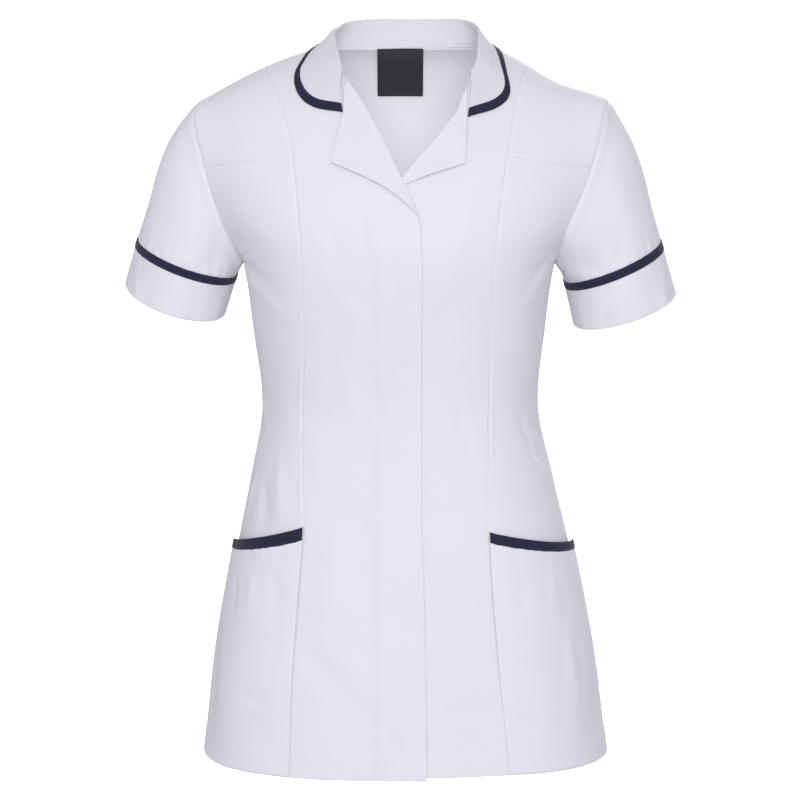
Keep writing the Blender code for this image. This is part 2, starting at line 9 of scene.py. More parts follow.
import bmesh
import bpy
import numpy as np
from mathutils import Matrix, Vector


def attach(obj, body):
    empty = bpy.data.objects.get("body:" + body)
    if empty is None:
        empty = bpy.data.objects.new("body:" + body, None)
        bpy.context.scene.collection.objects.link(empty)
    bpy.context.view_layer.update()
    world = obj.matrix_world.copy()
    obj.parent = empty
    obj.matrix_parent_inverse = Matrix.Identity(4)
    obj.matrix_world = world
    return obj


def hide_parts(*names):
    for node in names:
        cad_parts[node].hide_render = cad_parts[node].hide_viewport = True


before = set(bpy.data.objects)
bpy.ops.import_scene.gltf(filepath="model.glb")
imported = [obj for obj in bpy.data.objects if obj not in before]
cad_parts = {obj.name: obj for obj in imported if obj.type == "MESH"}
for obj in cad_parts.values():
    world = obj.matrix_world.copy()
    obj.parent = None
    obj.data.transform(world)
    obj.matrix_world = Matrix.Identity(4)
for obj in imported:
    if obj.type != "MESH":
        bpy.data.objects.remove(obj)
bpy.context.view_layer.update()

MM = 0.001

# Cloth
LAYER = 1.8 * MM
CLOTH_WALL = 0.8 * MM
OUTER_SKIN = 0.2 * MM
TAPE_WALL = 0.6 * MM
TAPE_CUT = 10.0 * MM
BINDING_WIDTH = 8.0 * MM
FOLD_WIDTH = 2.6 * MM
SIDES = {"right": -1, "left": 1}

# Torso, as in the solids: a row for each level, in mm but for the last figure, which squares the section off.
# Drop is how far a level falls at the shoulder tip, and shift how far its middle lies to the wearer's left
SECTIONS = {
    # height, drop, half width, shift, front, back, square
    "hem": (-664, 0, 191, 0.5, 136, 140, 2.6),
    "low_pocket": (-570, 0, 178.5, -0.5, 129, 136, 2.6),
    "pocket": (-470, 0, 157.8, -1.5, 118, 121, 2.5),
    "high_hip": (-400, 0, 142.5, -3, 109, 100, 2.4),
    "waist": (-334, 0, 130, -4.5, 105, 87, 2.4),
    "ribs": (-265, 0, 136.5, -5.5, 117, 94, 2.4),
    "underarm": (-198, 0, 146, -5.5, 132, 102, 2.5),
    "bust": (-158, 5, 166, -5.5, 130, 105, 2.5),
    "chest": (-117, 12, 186, -5, 117, 104, 2.4),
    "collarbone": (-77, 21.5, 201, -4, 99, 99, 2.3),
    "high_chest": (-41, 33.5, 211, -3, 78, 88, 2.2),
    "neck": (-12.5, 46, 217, -1, 54, 69, 2.1),
    "crest": (3.5, 55.5, 219, 0, 32, 44, 2),
    "ridge": (10, 59.5, 220, 0, 15, 21, 2),
    "shoulder": (11.6, 60.6, 220, 0, 0, 0, 2),
}
SECTION_ROWS = np.array(list(SECTIONS.values())) * np.array((MM,) * 6 + (1,))
TIP_REACH = 0.190
DIP_DEPTH = 0.0095
DIP_ACROSS = 0.140
DIP_REACH = 0.032
UNDERARM = list(SECTIONS).index("underarm")
SHOULDER = list(SECTIONS).index("shoulder")

# Armhole: share of the half width at which each level ends, from the underarm to the shoulder tip
ARMHOLE = {
    #              right  left
    "underarm":   (1.000, 1.000),
    "bust":       (0.972, 0.925),
    "chest":      (0.932, 0.903),
    "collarbone": (0.904, 0.877),
    "high_chest": (0.893, 0.860),
    "neck":       (0.887, 0.848),
    "crest":      (0.882, 0.850),
    "ridge":      (0.872, 0.856),
    "shoulder":   (0.864, 0.864),
}

# Princess seams: a level, and the right and left ones' distance from the centre line in mm
PRINCESS = (
    (0, 106.3, 96.5), (1, 103.8, 86.2), (1.4, 100, 82), (2, 94.8, 77.5), (2.5, 92, 75.9),
    (3, 93.8, 75.8), (4, 94.5, 76.4), (5, 90.8, 77.8), (6, 93.3, 80.3), (7, 95.6, 83.8),
    (8, 99.4, 89), (9, 104, 95.8), (10, 113.8, 100.8), (11, 124.3, 107.4), (12, 129, 113),
    (13, 130.5, 115.5), (14, 131.2, 117),
)

# Front edges: a level, and how far the placket, lapel roll and neck seam lie to the wearer's left there, in mm
FRONT_EDGE = {
    "right": (
        (0, 19.6), (1.4, 17.9), (2.4, 14.8), (6.2, 14.6), (7, 13.1), (7.22, 10.4),
        (7.75, 0.6), (7.94, -3.9), (8.69, -18.2), (9.5, -34.5), (10.53, -55.8), (11.3, -65),
        (12.2, -69), (13, -70), (14, -69),
    ),
    "left": (
        (0, -11), (3, -14), (7.2, -15), (7.7, -10), (7.94, -3), (8.3, 9),
        (8.79, 26.7), (9.46, 46.1), (10.33, 57.1), (11.3, 65), (12.2, 69), (13, 70),
        (14, 69),
    ),
}
YOKE_LEVEL = 8.55
LEFT_HEM_RISE = 0.030
HEM_RISE_FADES = 0.25

# Fly: where the wearer's right front rises over the left one
FLY_START = -0.036
FLY_FULL = -0.019
FLY_TOP_FULL = 8.0
FLY_TOP_END = 8.7

# Back neckline
NAPE_DEPTH = 2.0
NAPE_HALF = 0.070
NAPE_SQUARE = 2.6
NAPE_ROWS_FROM = 9.0

# Lapels: the outer edge from the collar to the point, and the end of the roll
LAPELS = {
    #         collar end         collar corner      point              foot of the roll
    "right": ((10.50, -0.0556), (9.52, -0.0555), (8.32, -0.0663), (7.13, 0.0108)),
    "left":  ((10.28, 0.0562), (9.41, 0.0555), (8.29, 0.0531), (7.78, -0.0020)),
}
LAPEL_FOOT_BOW = {"right": 0.14, "left": 0.02}
LAPEL_CORNER_SHARE = 0.42
# The facing's width at its top as a share of the whole, and how many times over it would spread along the roll
LAPEL_TOP_SHARE = 0.12
LAPEL_TOP_SPREAD = 8

# Collar, from the centre of the back to the front end. Seam is where it joins the neck, stand is the vector
# from the seam to the fold, and edge is where the fall ends. All but the levels is in mm, and across is
# mirrored for the two sides: seam level, across; stand forward, and across, up for the right and the left;
# edge level, across for the right and the left
COLLAR = {
    "back":       (16.07, 0, 4,  0, 24.5,  0, 24.5,  17.35, 0,  17.35, 0),
    "back_neck":  (15.95, 30, 4,  -0.5, 24.2,  -0.5, 24.2,  17.15, 35,  17.15, 35),
    "corner":     (15.52, 56, 3,  -6.5, 21.8,  -5, 23.4,  16.35, 66,  16.35, 66),
    "side":       (14.9, 69, 1,  -11.5, 17.8,  -9.5, 20.5,  15.1, 81.5,  15.1, 81.5),
    "ridge":      (14, 70, 0,  -8, 13.2,  -5.6, 16,  13.6, 83.2,  14, 85),
    "front_side": (12.9, 72, 0,  -7, 10.5,  -5, 11.6,  11.9, 93,  12.4, 88.5),
    "front":      (12.1, 71.5, 0,  -7.5, 6,  -4.6, 6.6,  10.85, 100.3,  11.1, 91.5),
    "front_low":  (11.3, 69, 0,  -8, 3.5,  -3.4, 3.7,  10.15, 95.5,  10.25, 94),
    "turn":       (10.9, 66.5, 0,  -7.8, 2,  -3, 1.2,  9.73, 81.5,  9.75, 82),
    "front_end":  (10.62, 64, 0,  -7, 1.2,  -5, 1,  9.52, 56.2,  9.42, 56.2),
}
FALL_CLEAR = 0.2 * MM

# Sleeves: the armhole's loop runs to an oval at the band, and that to an oval at the hem
SLEEVES = {
    #          centre of oval              half widths    tilt down  tilt back
    "right": {
        "band": ((-0.2055, 0.004, -0.1937), (0.0490, 0.0560), 20.3, 9.0),
        "hem": ((-0.2178, 0.009, -0.2325), (0.0487, 0.0560), 17.5, 15.0),
    },
    "left": {
        "band": ((0.1960, 0.004, -0.1975), (0.0486, 0.0560), 23.0, 7.0),
        "hem": ((0.2085, 0.009, -0.2433), (0.0498, 0.0560), 17.6, 10.0),
    },
}
LEAN_OUT = {
    #         head  underarm
    "right": (0.80, 0.45),
    "left":  (0.66, 0.45),
}
LEAN_FORWARD = 0.08
SEAM_GAP = 0.3 * MM
UNDERARM_CLEAR = 0.5 * MM
BAND_SHARE = 0.155

# Pockets
POCKET_MOUTH_INNER = 2.44
POCKET_MOUTH_SIDE = 2.07
# How far each mouth sits below that: at the princess seam, and by the side seam
POCKET_MOUTH_DROP = {"right": (0.0, -0.022), "left": (0.055, -0.016)}
POCKET_MOUTH_SAG = 0.030
POCKET_CORNER = {"right": 0.075, "left": 0.020}
POCKET_BINDING_LEVELS = {"right": (0.165, 0.095), "left": (0.132, 0.090)}
POCKET_STAND_OFF = 3.3 * MM
POCKET_SWELL_START = 0.08
POCKET_SWELL_RUN = 0.50
POCKET_FLAT_LEVEL = 0.3
MOUTH_BEND = 0.8
MOUTH_CORNER_FROM = 0.88
# Steps of a sheet as a share, and about how long the sheet is
POCKET_STEPS_ACROSS = (0.018, 0.12)
POCKET_STEPS_UP = (0.012, 0.19)
POCKET_TAPE_ROWS = (0, 0.05, 0.12, 0.3, 0.5, 0.7, 0.88, 0.95, 1.0)
POCKET_TAPE_STITCH = 1.5 * MM
POCKET_TAPE_LIFT = 0.5 * MM
POCKET_PUCKER = 0.5 * MM
POCKET_FOOT_LEVEL = 0.01
POCKET_LOW = 0.9 * MM
POCKET_HIGH = 1.5 * MM

# Neck label
LABEL_CENTRE = -0.0045
LABEL_HALF = 0.0220
LABEL_ROWS = (10.65, 13.99)
LABEL_WALL = 0.5 * MM
LABEL_CLEAR = 1.7 * MM

# Fineness of the sheets
CELL = 2.2 * MM
BACK_CELL = 3.25 * MM
EDGE_STOPS = (0.0, 0.4 * MM, 0.9 * MM, 1.6 * MM, 2.6 * MM, 4.0 * MM)
DART_STOPS = np.array((-2.4, -1.4, -0.7, 0, 0.7, 1.4, 2.4)) * MM
FINE_POINTS = 96


def between(rows, place):
    """Smooth values between evenly counted rows."""
    rows = np.asarray(rows, float)
    last = len(rows) - 1
    place = np.clip(np.asarray(place, float), 0, last)
    low = np.minimum(place.astype(int), last - 1)
    share = (place - low)[..., None]
    start, end = rows[low], rows[low + 1]
    before = np.where((low > 0)[..., None], rows[np.maximum(low - 1, 0)], 2 * start - end)
    after = np.where((low + 2 <= last)[..., None], rows[np.minimum(low + 2, last)], 2 * end - start)
    return hermite(share, start, (end - before) / 2, end, (after - start) / 2)


def hermite(share, start, leave, end, arrive):
    """Curve from start to end that leaves and arrives along the given vectors."""
    return (
        (2 * share**3 - 3 * share**2 + 1) * start
        + (share**3 - 2 * share**2 + share) * leave
        + (3 * share**2 - 2 * share**3) * end
        + (share**3 - share**2) * arrive
    )


def along(table, level, column=1, soften=0.0):
    """Value of a column at a level. Soften rounds the table's corners, over that many levels to each side."""
    places, values = [row[0] for row in table], [row[column] for row in table]
    if not soften:
        return np.interp(level, places, values)
    return np.mean([np.interp(level + step, places, values) for step in np.linspace(-soften, soften, 7)], axis=0)


def ease(low, high, value):
    """0 below low, 1 above high, and smooth between them."""
    share = np.clip((value - low) / (high - low), 0.0, 1.0)
    return share * share * (3 - 2 * share)


def bell(value, width):
    """1 at 0, falling off smoothly to both sides."""
    return np.exp(-((value / width) ** 2))


def run_along(points, axis=0):
    """Distance of each point from the first one, along a line or along each line of a grid."""
    return np.cumsum(
        np.linalg.norm(np.diff(points, axis=axis, prepend=np.take(points, [0], axis)), axis=-1), axis=axis
    )


def as_front(level):
    """Level of a row of the back, counted as on the front."""
    return np.minimum(level, 2 * SHOULDER - level)


def unit(vectors):
    return vectors / np.linalg.norm(vectors, axis=-1, keepdims=True)


def section(level):
    return np.moveaxis(between(SECTION_ROWS, as_front(level)), -1, 0)


def place(level, turn):
    """Points of the torso's form. Turn is an angle from the centre line, a quarter turn at the side seam."""
    level, turn = np.broadcast_arrays(np.asarray(level, float), np.asarray(turn, float))
    height, drop, half, shift, front, back, square = section(level)
    reach = np.sin(turn)
    depth = np.maximum(0.0, 1 - abs(reach) ** square) ** (1 / square)
    across = shift + half * reach
    dip = DIP_DEPTH / SECTION_ROWS[SHOULDER, 1] * bell(across - DIP_ACROSS, DIP_REACH)
    fall = (half * reach / TIP_REACH) ** 2 + np.where(across > 0, dip, 0)
    forward = np.where(level > SHOULDER, back * depth, -front * depth)
    return np.stack([across, forward, height - drop * fall], axis=-1)


def turn_at(level, across):
    """Angle at which a level lies this far from the centre line."""
    _, _, half, shift, _, _, _ = section(np.asarray(level, float))
    return np.arcsin(np.clip((across - shift) / half, -1.0, 1.0))


def outward(level, turn):
    """Unit normals of the form, pointing out of the garment."""
    step = 0.02
    level = np.clip(np.asarray(level, float), step, 2 * SHOULDER - step)
    near = abs(level - SHOULDER) < step
    level = np.where(near, np.where(level <= SHOULDER, SHOULDER - step, SHOULDER + step), level)
    turn = np.clip(turn, -math.pi / 2 + step, math.pi / 2 - step)
    sideways = place(level, turn + step) - place(level, turn - step)
    upwards = place(level + step, turn) - place(level - step, turn)
    return unit(np.cross(sideways, upwards))


def armhole_turn(level, side):
    """Angle at which the armhole, or below it the side seam, ends a level."""
    shares = [(row + UNDERARM, values[side == "left"]) for row, values in enumerate(ARMHOLE.values())]
    share = np.where(level <= UNDERARM, 1.0, along(shares, level, soften=0.25))
    return SIDES[side] * np.arcsin(np.minimum(share, 1.0))


def princess_turn(level, side):
    return turn_at(level, SIDES[side] * MM * along(PRINCESS, level, 1 if side == "right" else 2, soften=0.3))


def front_edge(level, side):
    return MM * along(FRONT_EDGE[side], level, soften=0.12)


def hem_level(side):
    return LEFT_HEM_RISE if side == "left" else 0.0


def above_hem(level, side):
    """How far the side's raised hem lifts a level."""
    return hem_level(side) * np.maximum(0, 1 - level / HEM_RISE_FADES)


def fly_lift(level, across, side):
    """How far the wearer's right front rises to pass over the left one."""
    return (side == "right") * LAYER * ease(FLY_START, FLY_FULL, across) * (1 - ease(FLY_TOP_FULL, FLY_TOP_END, level))


# Folds, in mm: soft troughs and ridges of the front and of the back, from one end to the other, seen square on.
# A ridge's depth is above 0 and a trough's below it. Bow bends the fold sideways at its middle
FRONT_FOLDS = (
    # from x, z, to x, z, width, depth, bow
    (-35, -138, -27, -188, 6, 1.6, 2), (-24, -145, -19, -180, 5, -1.6, 1), (-18, -178, -12, -225, 6, -1.4, 2),
    (-160, -190, -112, -225, 8, -1.6, 4), (-150, -205, -100, -248, 9, 1.3, 4), (140, -186, 104, -228, 8, -1.3, -4),
    (134, -200, 96, -250, 9, 1, -4), (-136, -318, -128, -352, 6, 1.6, 3), (-131, -398, -126, -445, 11, -2.2, 0),
    (-116, -375, -114, -435, 9, 1.6, 0), (-137, -388, -153, -452, 5.5, 1.5, 2), (-152, -484, -156, -530, 6.5, -1.3, 0),
    (-138, -482, -140, -520, 7, 1.2, 0), (-118, -476, -115, -512, 7, -1.3, 0), (104, -478, 108, -520, 8, -1.2, 0),
    (132, -484, 138, -530, 8, 1.2, 0), (-55, -285, -44, -340, 9, 1, -3), (-26, -305, -24, -355, 6, -1.4, 1),
    (-20, -272, -12, -284, 4, -0.8, 0), (-8, -286, 10, -296, 5, -0.9, 0), (48, -328, 72, -395, 8, -1.1, -4),
    (58, -322, 82, -380, 8, 0.8, -4), (116, -366, 136, -402, 5.5, 1.4, -2), (118, -348, 132, -372, 6.5, -1.4, 0),
    (118, -252, 127, -293, 6, -2.2, 2), (104, -334, 124, -386, 10, -1.6, 2), (-96, -542, -32, -622, 12, -1.9, 4),
    (-80, -530, -18, -605, 13, 1.3, 4), (-12, -620, -4, -656, 6, -1.8, 0), (-22, -618, -14, -655, 6, 1.3, 0),
    (36, -600, 92, -606, 6, -1.1, 2), (96, -604, 128, -622, 6, -1.3, -3), (-158, -590, -120, -604, 7, -1, 2),
    (-150, -602, -118, -612, 6, 0.7, 2), (-172, -500, -180, -640, 14, -4.2, 0), (166, -515, 178, -640, 11, -3.2, 0),
    (148, -530, 158, -645, 11, 2, 0), (-60, -225, -36, -275, 14, 1.6, 4), (40, -225, 30, -285, 14, -1.4, -4),
    (60, -150, 45, -215, 13, 1.4, -3), (-70, -155, -62, -210, 12, -1.3, 3), (24, -440, 30, -560, 15, -2.2, 2),
    (55, -450, 62, -600, 18, 2.2, 3), (-60, -430, -66, -540, 16, 2, -3), (-40, -420, -36, -520, 14, -1.8, 2),
)
BACK_FOLDS = (
    (-150, -182, -84, -246, 9, -2.1, 6), (-140, -170, -80, -226, 10, 1.4, 5), (140, -180, 78, -240, 9, -2, -6),
    (132, -166, 72, -222, 10, 1.3, -5), (-118, -322, -52, -338, 7, -2, 3), (-122, -344, -60, -356, 8, -1.6, -3),
    (-110, -332, -48, -347, 8, 1.4, 2), (112, -318, 50, -342, 7, -1.8, -3), (108, -352, 46, -362, 8, -1.4, 3),
    (104, -334, 44, -352, 8, 1.4, -2), (-40, -352, 30, -360, 10, -1.6, 3), (-30, -372, 36, -366, 10, 1.2, -3),
    (-104, -80, -92, -168, 13, 1.3, 4), (100, -75, 86, -160, 13, 1.3, -4), (-120, -450, -140, -640, 15, -2.5, 3),
    (-92, -440, -100, -640, 16, 2.1, 2), (-52, -460, -58, -645, 15, -2.2, -3), (-12, -450, -10, -645, 17, 2, 2),
    (34, -465, 36, -645, 15, -2.1, 3), (74, -445, 84, -640, 16, 2.1, -2), (118, -455, 134, -640, 15, -2.3, 3),
    (152, -480, 168, -640, 12, 1.6, 0), (-156, -485, -172, -640, 12, 1.6, 0),
)
# A turn is measured for folds as a distance, on a circle of this radius
WRAP_RADIUS = 0.150

# Hanging waves of the skirt and the unevenness of worn cloth
SKIRT_HEIGHTS = (-0.56, -0.40)
WAVE_COUNT = 9.0
WAVE_DEPTH = 0.9 * MM
UNEVEN_DEPTH = 0.38 * MM


def soft_noise(u, z, size, seed):
    """Smooth uneven heights from -1 to 1, with bumps of about this size."""
    random = np.random.default_rng(seed)
    total = 0.0
    for _ in range(6):
        heading, phase = random.uniform(0, 2 * math.pi, 2)
        length = size * random.uniform(1.5, 3.2)
        total += np.sin(2 * math.pi * (u * math.cos(heading) + z * math.sin(heading)) / length + phase)
    return total / 3.5


def fold_height(u, z, start, end, width, depth, bow):
    """Height of one soft fold between two ends, in the plane of u and z."""
    start, end = np.array(start), np.array(end)
    span = np.linalg.norm(end - start)
    way = (end - start) / span
    run = ((u - start[0]) * way[0] + (z - start[1]) * way[1]) / span
    middle = np.clip(run, 0, 1)
    aside = (u - start[0]) * -way[1] + (z - start[1]) * way[0] - 4 * bow * middle * (1 - middle)
    spread = width * (0.7 + 0.5 * middle)
    taper = ease(-0.15, 0.35, run) * (1 - ease(0.55, 1.15, run))
    return depth * taper * bell(aside, spread)


def level_of_height(height):
    """Level that lies this high on the centre line, by the table."""
    return np.interp(height, SECTION_ROWS[:, 0], range(len(SECTION_ROWS)))


def wrapped(across, height):
    """Distance round the form, on the circle of WRAP_RADIUS, of a point seen square on."""
    return WRAP_RADIUS * float(turn_at(level_of_height(height), across))


def body_relief(turn, height, behind):
    """Folds, hanging waves and unevenness of the torso's cloth."""
    u = WRAP_RADIUS * turn
    total = UNEVEN_DEPTH * soft_noise(u, height, 0.030, 11 + behind)
    total += 2 * UNEVEN_DEPTH * soft_noise(u, 0.5 * height, 0.055, 23 + behind)
    skirt = 1 - ease(*SKIRT_HEIGHTS, height)
    waves = np.sin(WAVE_COUNT * turn + 0.8 * np.sin(2.3 * turn + behind) + 1.3 * behind)
    total += WAVE_DEPTH * skirt * waves * np.cos(turn) ** 0.5
    for x0, z0, x1, z1, *shape in MM * np.array(BACK_FOLDS if behind else FRONT_FOLDS):
        total += fold_height(u, height, (wrapped(x0, z0), z0), (wrapped(x1, z1), z1), *shape)
    return total


def edge_runs(points):
    """Distance of each point from the first and last column and the first and last row."""
    across, upward = run_along(points, 1), run_along(points)
    return across, across[:, -1:] - across, upward, upward[-1:] - upward


def seam_dip(distance, depth):
    """A sheet's edge drawn down into its seam, with the cloth swelling a little beside it."""
    return depth * (0.16 * bell(distance - 3.5 * MM, 2 * MM) - bell(distance, 1.1 * MM))


def round_edge(distance, radius=0.7 * MM):
    """A folded edge that turns under."""
    inside = np.clip(1 - distance / radius, 0, 1)
    return -radius * (1 - np.sqrt(np.maximum(0, 1 - inside**2)))


def allowance(distance, reach, height):
    """Cloth lifted by the turned seam allowance under it, which a top-stitch holds down."""
    stitch = 0.14 * MM * bell(distance - reach + 0.5 * MM, 0.9 * MM)
    return height * (1 - ease(reach - 0.8 * MM, reach + 2.4 * MM, distance)) - stitch


def puckers(run, distance, depth, length=0.011, reach=0.007, seed=5):
    """Small uneven gathers beside a seam."""
    wobble = soft_noise(run, 0 * run, 0.02, seed)
    strength = 0.55 + 0.45 * soft_noise(run, 0 * run, 0.045, seed + 1)
    return depth * strength * np.sin(2 * math.pi * run / length + 2.2 * wobble) * np.exp(-distance / reach)


def stops(length, cell, fine=EDGE_STOPS):
    """Places from 0 to length, fine near both ends and evenly spaced between."""
    middle = np.arange(fine[-1] + cell, length - fine[-1] - cell / 2, cell)
    return np.concatenate([fine, middle, length - np.array(fine[::-1])])


def edge_shares(step, length):
    """Shares of a length in even steps, fine near both ends."""
    return stops(1.0, step, np.array(EDGE_STOPS) / length)


def sheet_levels(low, high, cell=CELL):
    """Levels of a sheet's rows, evenly spaced in height at the centre line, fine near both ends."""
    fine_levels = np.linspace(low, high, 400)
    run = run_along(place(fine_levels, 0.0))
    return np.interp(stops(run[-1], cell), run, fine_levels)


def spread_columns(at, rows, cell=CELL, extra=()):
    """Grids of level and turn whose columns are spread by distance along each row.

    at gives level and turn for a row's level and shares across. Extra are shares with fine columns beside them.
    """
    shares = np.linspace(0, 1, FINE_POINTS)
    levels, turns = at(np.asarray(rows)[:, None], shares[None, :])
    run = run_along(place(levels, turns), 1)
    widest = run[:, -1].max()
    wanted = stops(widest, cell) / widest
    wanted = np.concatenate([wanted, *(share + DART_STOPS / widest for share in extra)])
    wanted = np.unique(np.round(wanted, 6))
    return [
        np.array([np.interp(wanted * line[-1], line, values) for line, values in zip(run, grid)])
        for grid in (levels, turns)
    ]


def grid_normals(points, closed=False, inside=(0.0, 0.0, -0.3)):
    """Unit normals of a grid, on the side away from the point inside."""
    if closed:
        padded = np.concatenate([points[:, -2:-1], points, points[:, 1:2]], axis=1)
        across = (padded[:, 2:] - padded[:, :-2]) / 2
    else:
        across = np.gradient(points, axis=1)
    normals = unit(np.cross(across, np.gradient(points, axis=0)) + 1e-15)
    away = np.sum(normals * (points - np.asarray(inside)), axis=2)
    return normals if np.median(away) > 0 else -normals


def mesh_of_grid(name, points, closed=False):
    """Mesh of quads through a grid of points, with a map in metres. A closed grid repeats its first column."""
    rows, columns = points.shape[:2]
    row, column = np.meshgrid(np.arange(rows - 1), np.arange(columns - 1), indexing="ij")
    corners = [(row, column), (row, column + 1), (row + 1, column + 1), (row + 1, column)]
    width = columns - 1 if closed else columns
    faces = np.stack([r * width + c % width for r, c in corners], axis=-1).reshape(-1, 4)
    across, _, upward, _ = edge_runs(points)
    flat = np.stack([across, upward], axis=-1)
    loops = np.stack([flat[r, c] for r, c in corners], axis=2).reshape(-1, 2)
    mesh = bpy.data.meshes.new(name)
    mesh.from_pydata(points[:, :width].reshape(-1, 3), [], faces.tolist())
    layer = mesh.uv_layers.new(name="cloth")
    layer.data.foreach_set("uv", loops.ravel())
    return mesh


def placed(name, data, spot=(0, 0, 0)):
    """A new object in the scene."""
    thing = bpy.data.objects.new(name, data)
    thing.location = spot
    bpy.context.scene.collection.objects.link(thing)
    return thing


def thickened(name, mesh, wall):
    """The mesh given a wall, half to each side, with only its folds sharp."""
    piece = placed(name, mesh)
    thicken = piece.modifiers.new("wall", "SOLIDIFY")
    thicken.thickness = wall
    thicken.offset = 0
    thicken.use_quality_normals = True
    shell = bpy.data.meshes.new_from_object(piece.evaluated_get(bpy.context.evaluated_depsgraph_get()))
    piece.modifiers.clear()
    piece.data = shell
    shell.name = name
    bpy.data.meshes.remove(mesh)
    shell.shade_smooth()
    shell.set_sharp_from_angle(angle=math.radians(60))
    return piece


SHEETS = []


def sewn(part, kind, side, points, finish=None, closed=False, cut=None, rests_on=()):
    """A piece of cloth: its mesh, finish, and place in the frame. cut is its flat width and length."""
    if closed:
        points[:, -1] = points[:, 0]
    usual_finish, wall, _ = KINDS[kind]
    finish = finish or usual_finish
    hand = f"_{side}" if side else ""
    name = f"{part}_{kind}{hand}"
    piece = thickened(name, mesh_of_grid(name, points, closed), wall)
    piece.data.materials.append(finish.material)
    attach(piece, "root")
    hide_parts(part + hand)
    SHEETS.append((piece, points, cut, rests_on))


class Signal:
    """A socket on which Python's operators make Math nodes."""

    def __init__(self, finish, socket):
        self.finish, self.socket = finish, socket

    def __add__(self, other):
        return self.finish.maths("ADD", self, other)

    def __mul__(self, other):
        return self.finish.maths("MULTIPLY", self, other)


class Finish:
    """A material of one of the tunic's cloths, whose shader is written as expressions."""

    def __init__(self, name, slot, roughness, sheen):
        self.slot = slot
        self.material = bpy.data.materials.new(name)
        self.material.use_nodes = True
        self.tree = self.material.node_tree
        self.shader = self.tree.nodes["Principled BSDF"]
        self.fill(self.shader, {"Roughness": roughness, "Sheen Weight": sheen, "Specular IOR Level": 0.25})

    def fill(self, node, inputs):
        """Give a node's inputs their values, or link signals to them."""
        for key, value in inputs.items():
            if isinstance(value, Signal):
                self.tree.links.new(value.socket, node.inputs[key])
            else:
                node.inputs[key].default_value = value

    def node(self, kind, inputs, output=0, **settings):
        """The output of a new node, whose settings are set before its inputs."""
        made = self.tree.nodes.new(kind)
        for setting, value in settings.items():
            setattr(made, setting, value)
        self.fill(made, inputs)
        return Signal(self, made.outputs[output])

    def maths(self, operation, *values):
        return self.node("ShaderNodeMath", dict(enumerate(values)), operation=operation)

    def wave(self, distance, pitch):
        """Wave from 0 to 1, once for each pitch."""
        return self.maths("SINE", distance * (2 * math.pi / pitch)) * 0.5 + 0.5

    def map_axes(self):
        """Distances across and up the cloth, in metres."""
        spot = self.node("ShaderNodeUVMap", {}, uv_map="cloth")
        return [self.node("ShaderNodeSeparateXYZ", {"Vector": spot}, axis) for axis in (0, 1)]

    def noise(self, scale):
        """Noise through space, from 0 to 1. Scale is in bumps a metre."""
        spot = self.node("ShaderNodeTexCoord", {}, "Object")
        return self.node("ShaderNodeTexNoise", {"Vector": spot, "Scale": scale, "Detail": 2.0})

    def paint(self, share, low, high):
        """Base colour from low to high by a share."""
        mix = self.node("ShaderNodeMix", {0: share, 6: (*low, 1), 7: (*high, 1)}, 2, data_type="RGBA")
        self.fill(self.shader, {"Base Color": mix})

    def relief(self, height, depth, strength):
        """Bump of this depth in metres from a height of 0 to 1."""
        bump = self.node("ShaderNodeBump", {"Height": height, "Distance": depth, "Strength": strength})
        self.fill(self.shader, {"Normal": bump})


TWILL_PITCH = 0.75 * MM
THREAD_PITCH = 0.45 * MM
RIB_PITCH = 1.1 * MM
WHITE_TONES = np.array((0.762, 0.760, 0.801)), np.array((0.802, 0.800, 0.841))


def white_cloth(name, shade):
    """White twill, its colour multiplied by shade: the collar's is painted a little greyer, a painted shade for the
    shade the collar lies in.
    """
    finish = Finish(name, "white_cloth", 0.82, 0.18)
    across, up = finish.map_axes()
    threads = finish.wave(across, THREAD_PITCH) * finish.wave(up, THREAD_PITCH)
    weave = finish.wave(across + up, TWILL_PITCH) * 0.5 + threads * 0.25 + finish.noise(900.0) * 0.25
    finish.paint(finish.noise(28.0) * 0.6 + weave * 0.4, *(shade * tone for tone in WHITE_TONES))
    finish.relief(weave, 0.10 * MM, 0.6)
    return finish


def navy_binding():
    finish = Finish("navy_tape", "navy_binding", 0.80, 0.08)
    across, up = finish.map_axes()
    threads = finish.wave(up, THREAD_PITCH) * 0.25 + finish.noise(700.0) * 0.25
    weave = finish.wave(across, RIB_PITCH) * 0.5 + threads
    finish.paint(weave, (0.011, 0.012, 0.032), (0.022, 0.023, 0.057))
    finish.relief(weave, 0.15 * MM, 0.7)
    return finish


def label_weave():
    finish = Finish("label_satin", "label_weave", 0.55, 0.10)
    across, up = finish.map_axes()
    ribs = finish.wave(up, RIB_PITCH) * 0.6 + finish.wave(across, THREAD_PITCH) * 0.4
    finish.paint(ribs * 0.7 + finish.noise(400.0) * 0.3, (0.013, 0.014, 0.020), (0.023, 0.024, 0.033))
    finish.relief(ribs, 0.10 * MM, 0.6)
    return finish


def thread(name, slot, low, high):
    finish = Finish(name, slot, 0.60, 0.20)
    finish.paint(finish.noise(1500.0), low, high)
    return finish


WHITE = white_cloth("white_twill", 1.0)
# The collar's cloth is painted 7% greyer: painted shade, standing in for the shade the collar lies in.
COLLAR_PAINTED_SHADE_WHITE = white_cloth("white_twill_painted_shade", 0.93)
NAVY = navy_binding()
LABEL = label_weave()
WHITE_THREAD = thread("white_thread", "white_cloth", (0.70, 0.71, 0.77), (0.78, 0.79, 0.85))
NAVY_THREAD = thread("navy_thread", "navy_binding", (0.030, 0.034, 0.085), (0.045, 0.050, 0.115))

KINDS = {
    #         finish  wall       thread
    "cloth": (WHITE, CLOTH_WALL, "white"),
    "tape": (NAVY, TAPE_WALL, "navy"),
    "weave": (LABEL, LABEL_WALL, "navy"),
}

# Stitches
STITCH_PITCH = 3.0 * MM
STITCH_LENGTH = 2.3 * MM
STITCH_HALF = 0.20 * MM
stitches = {"white": [], "navy": []}


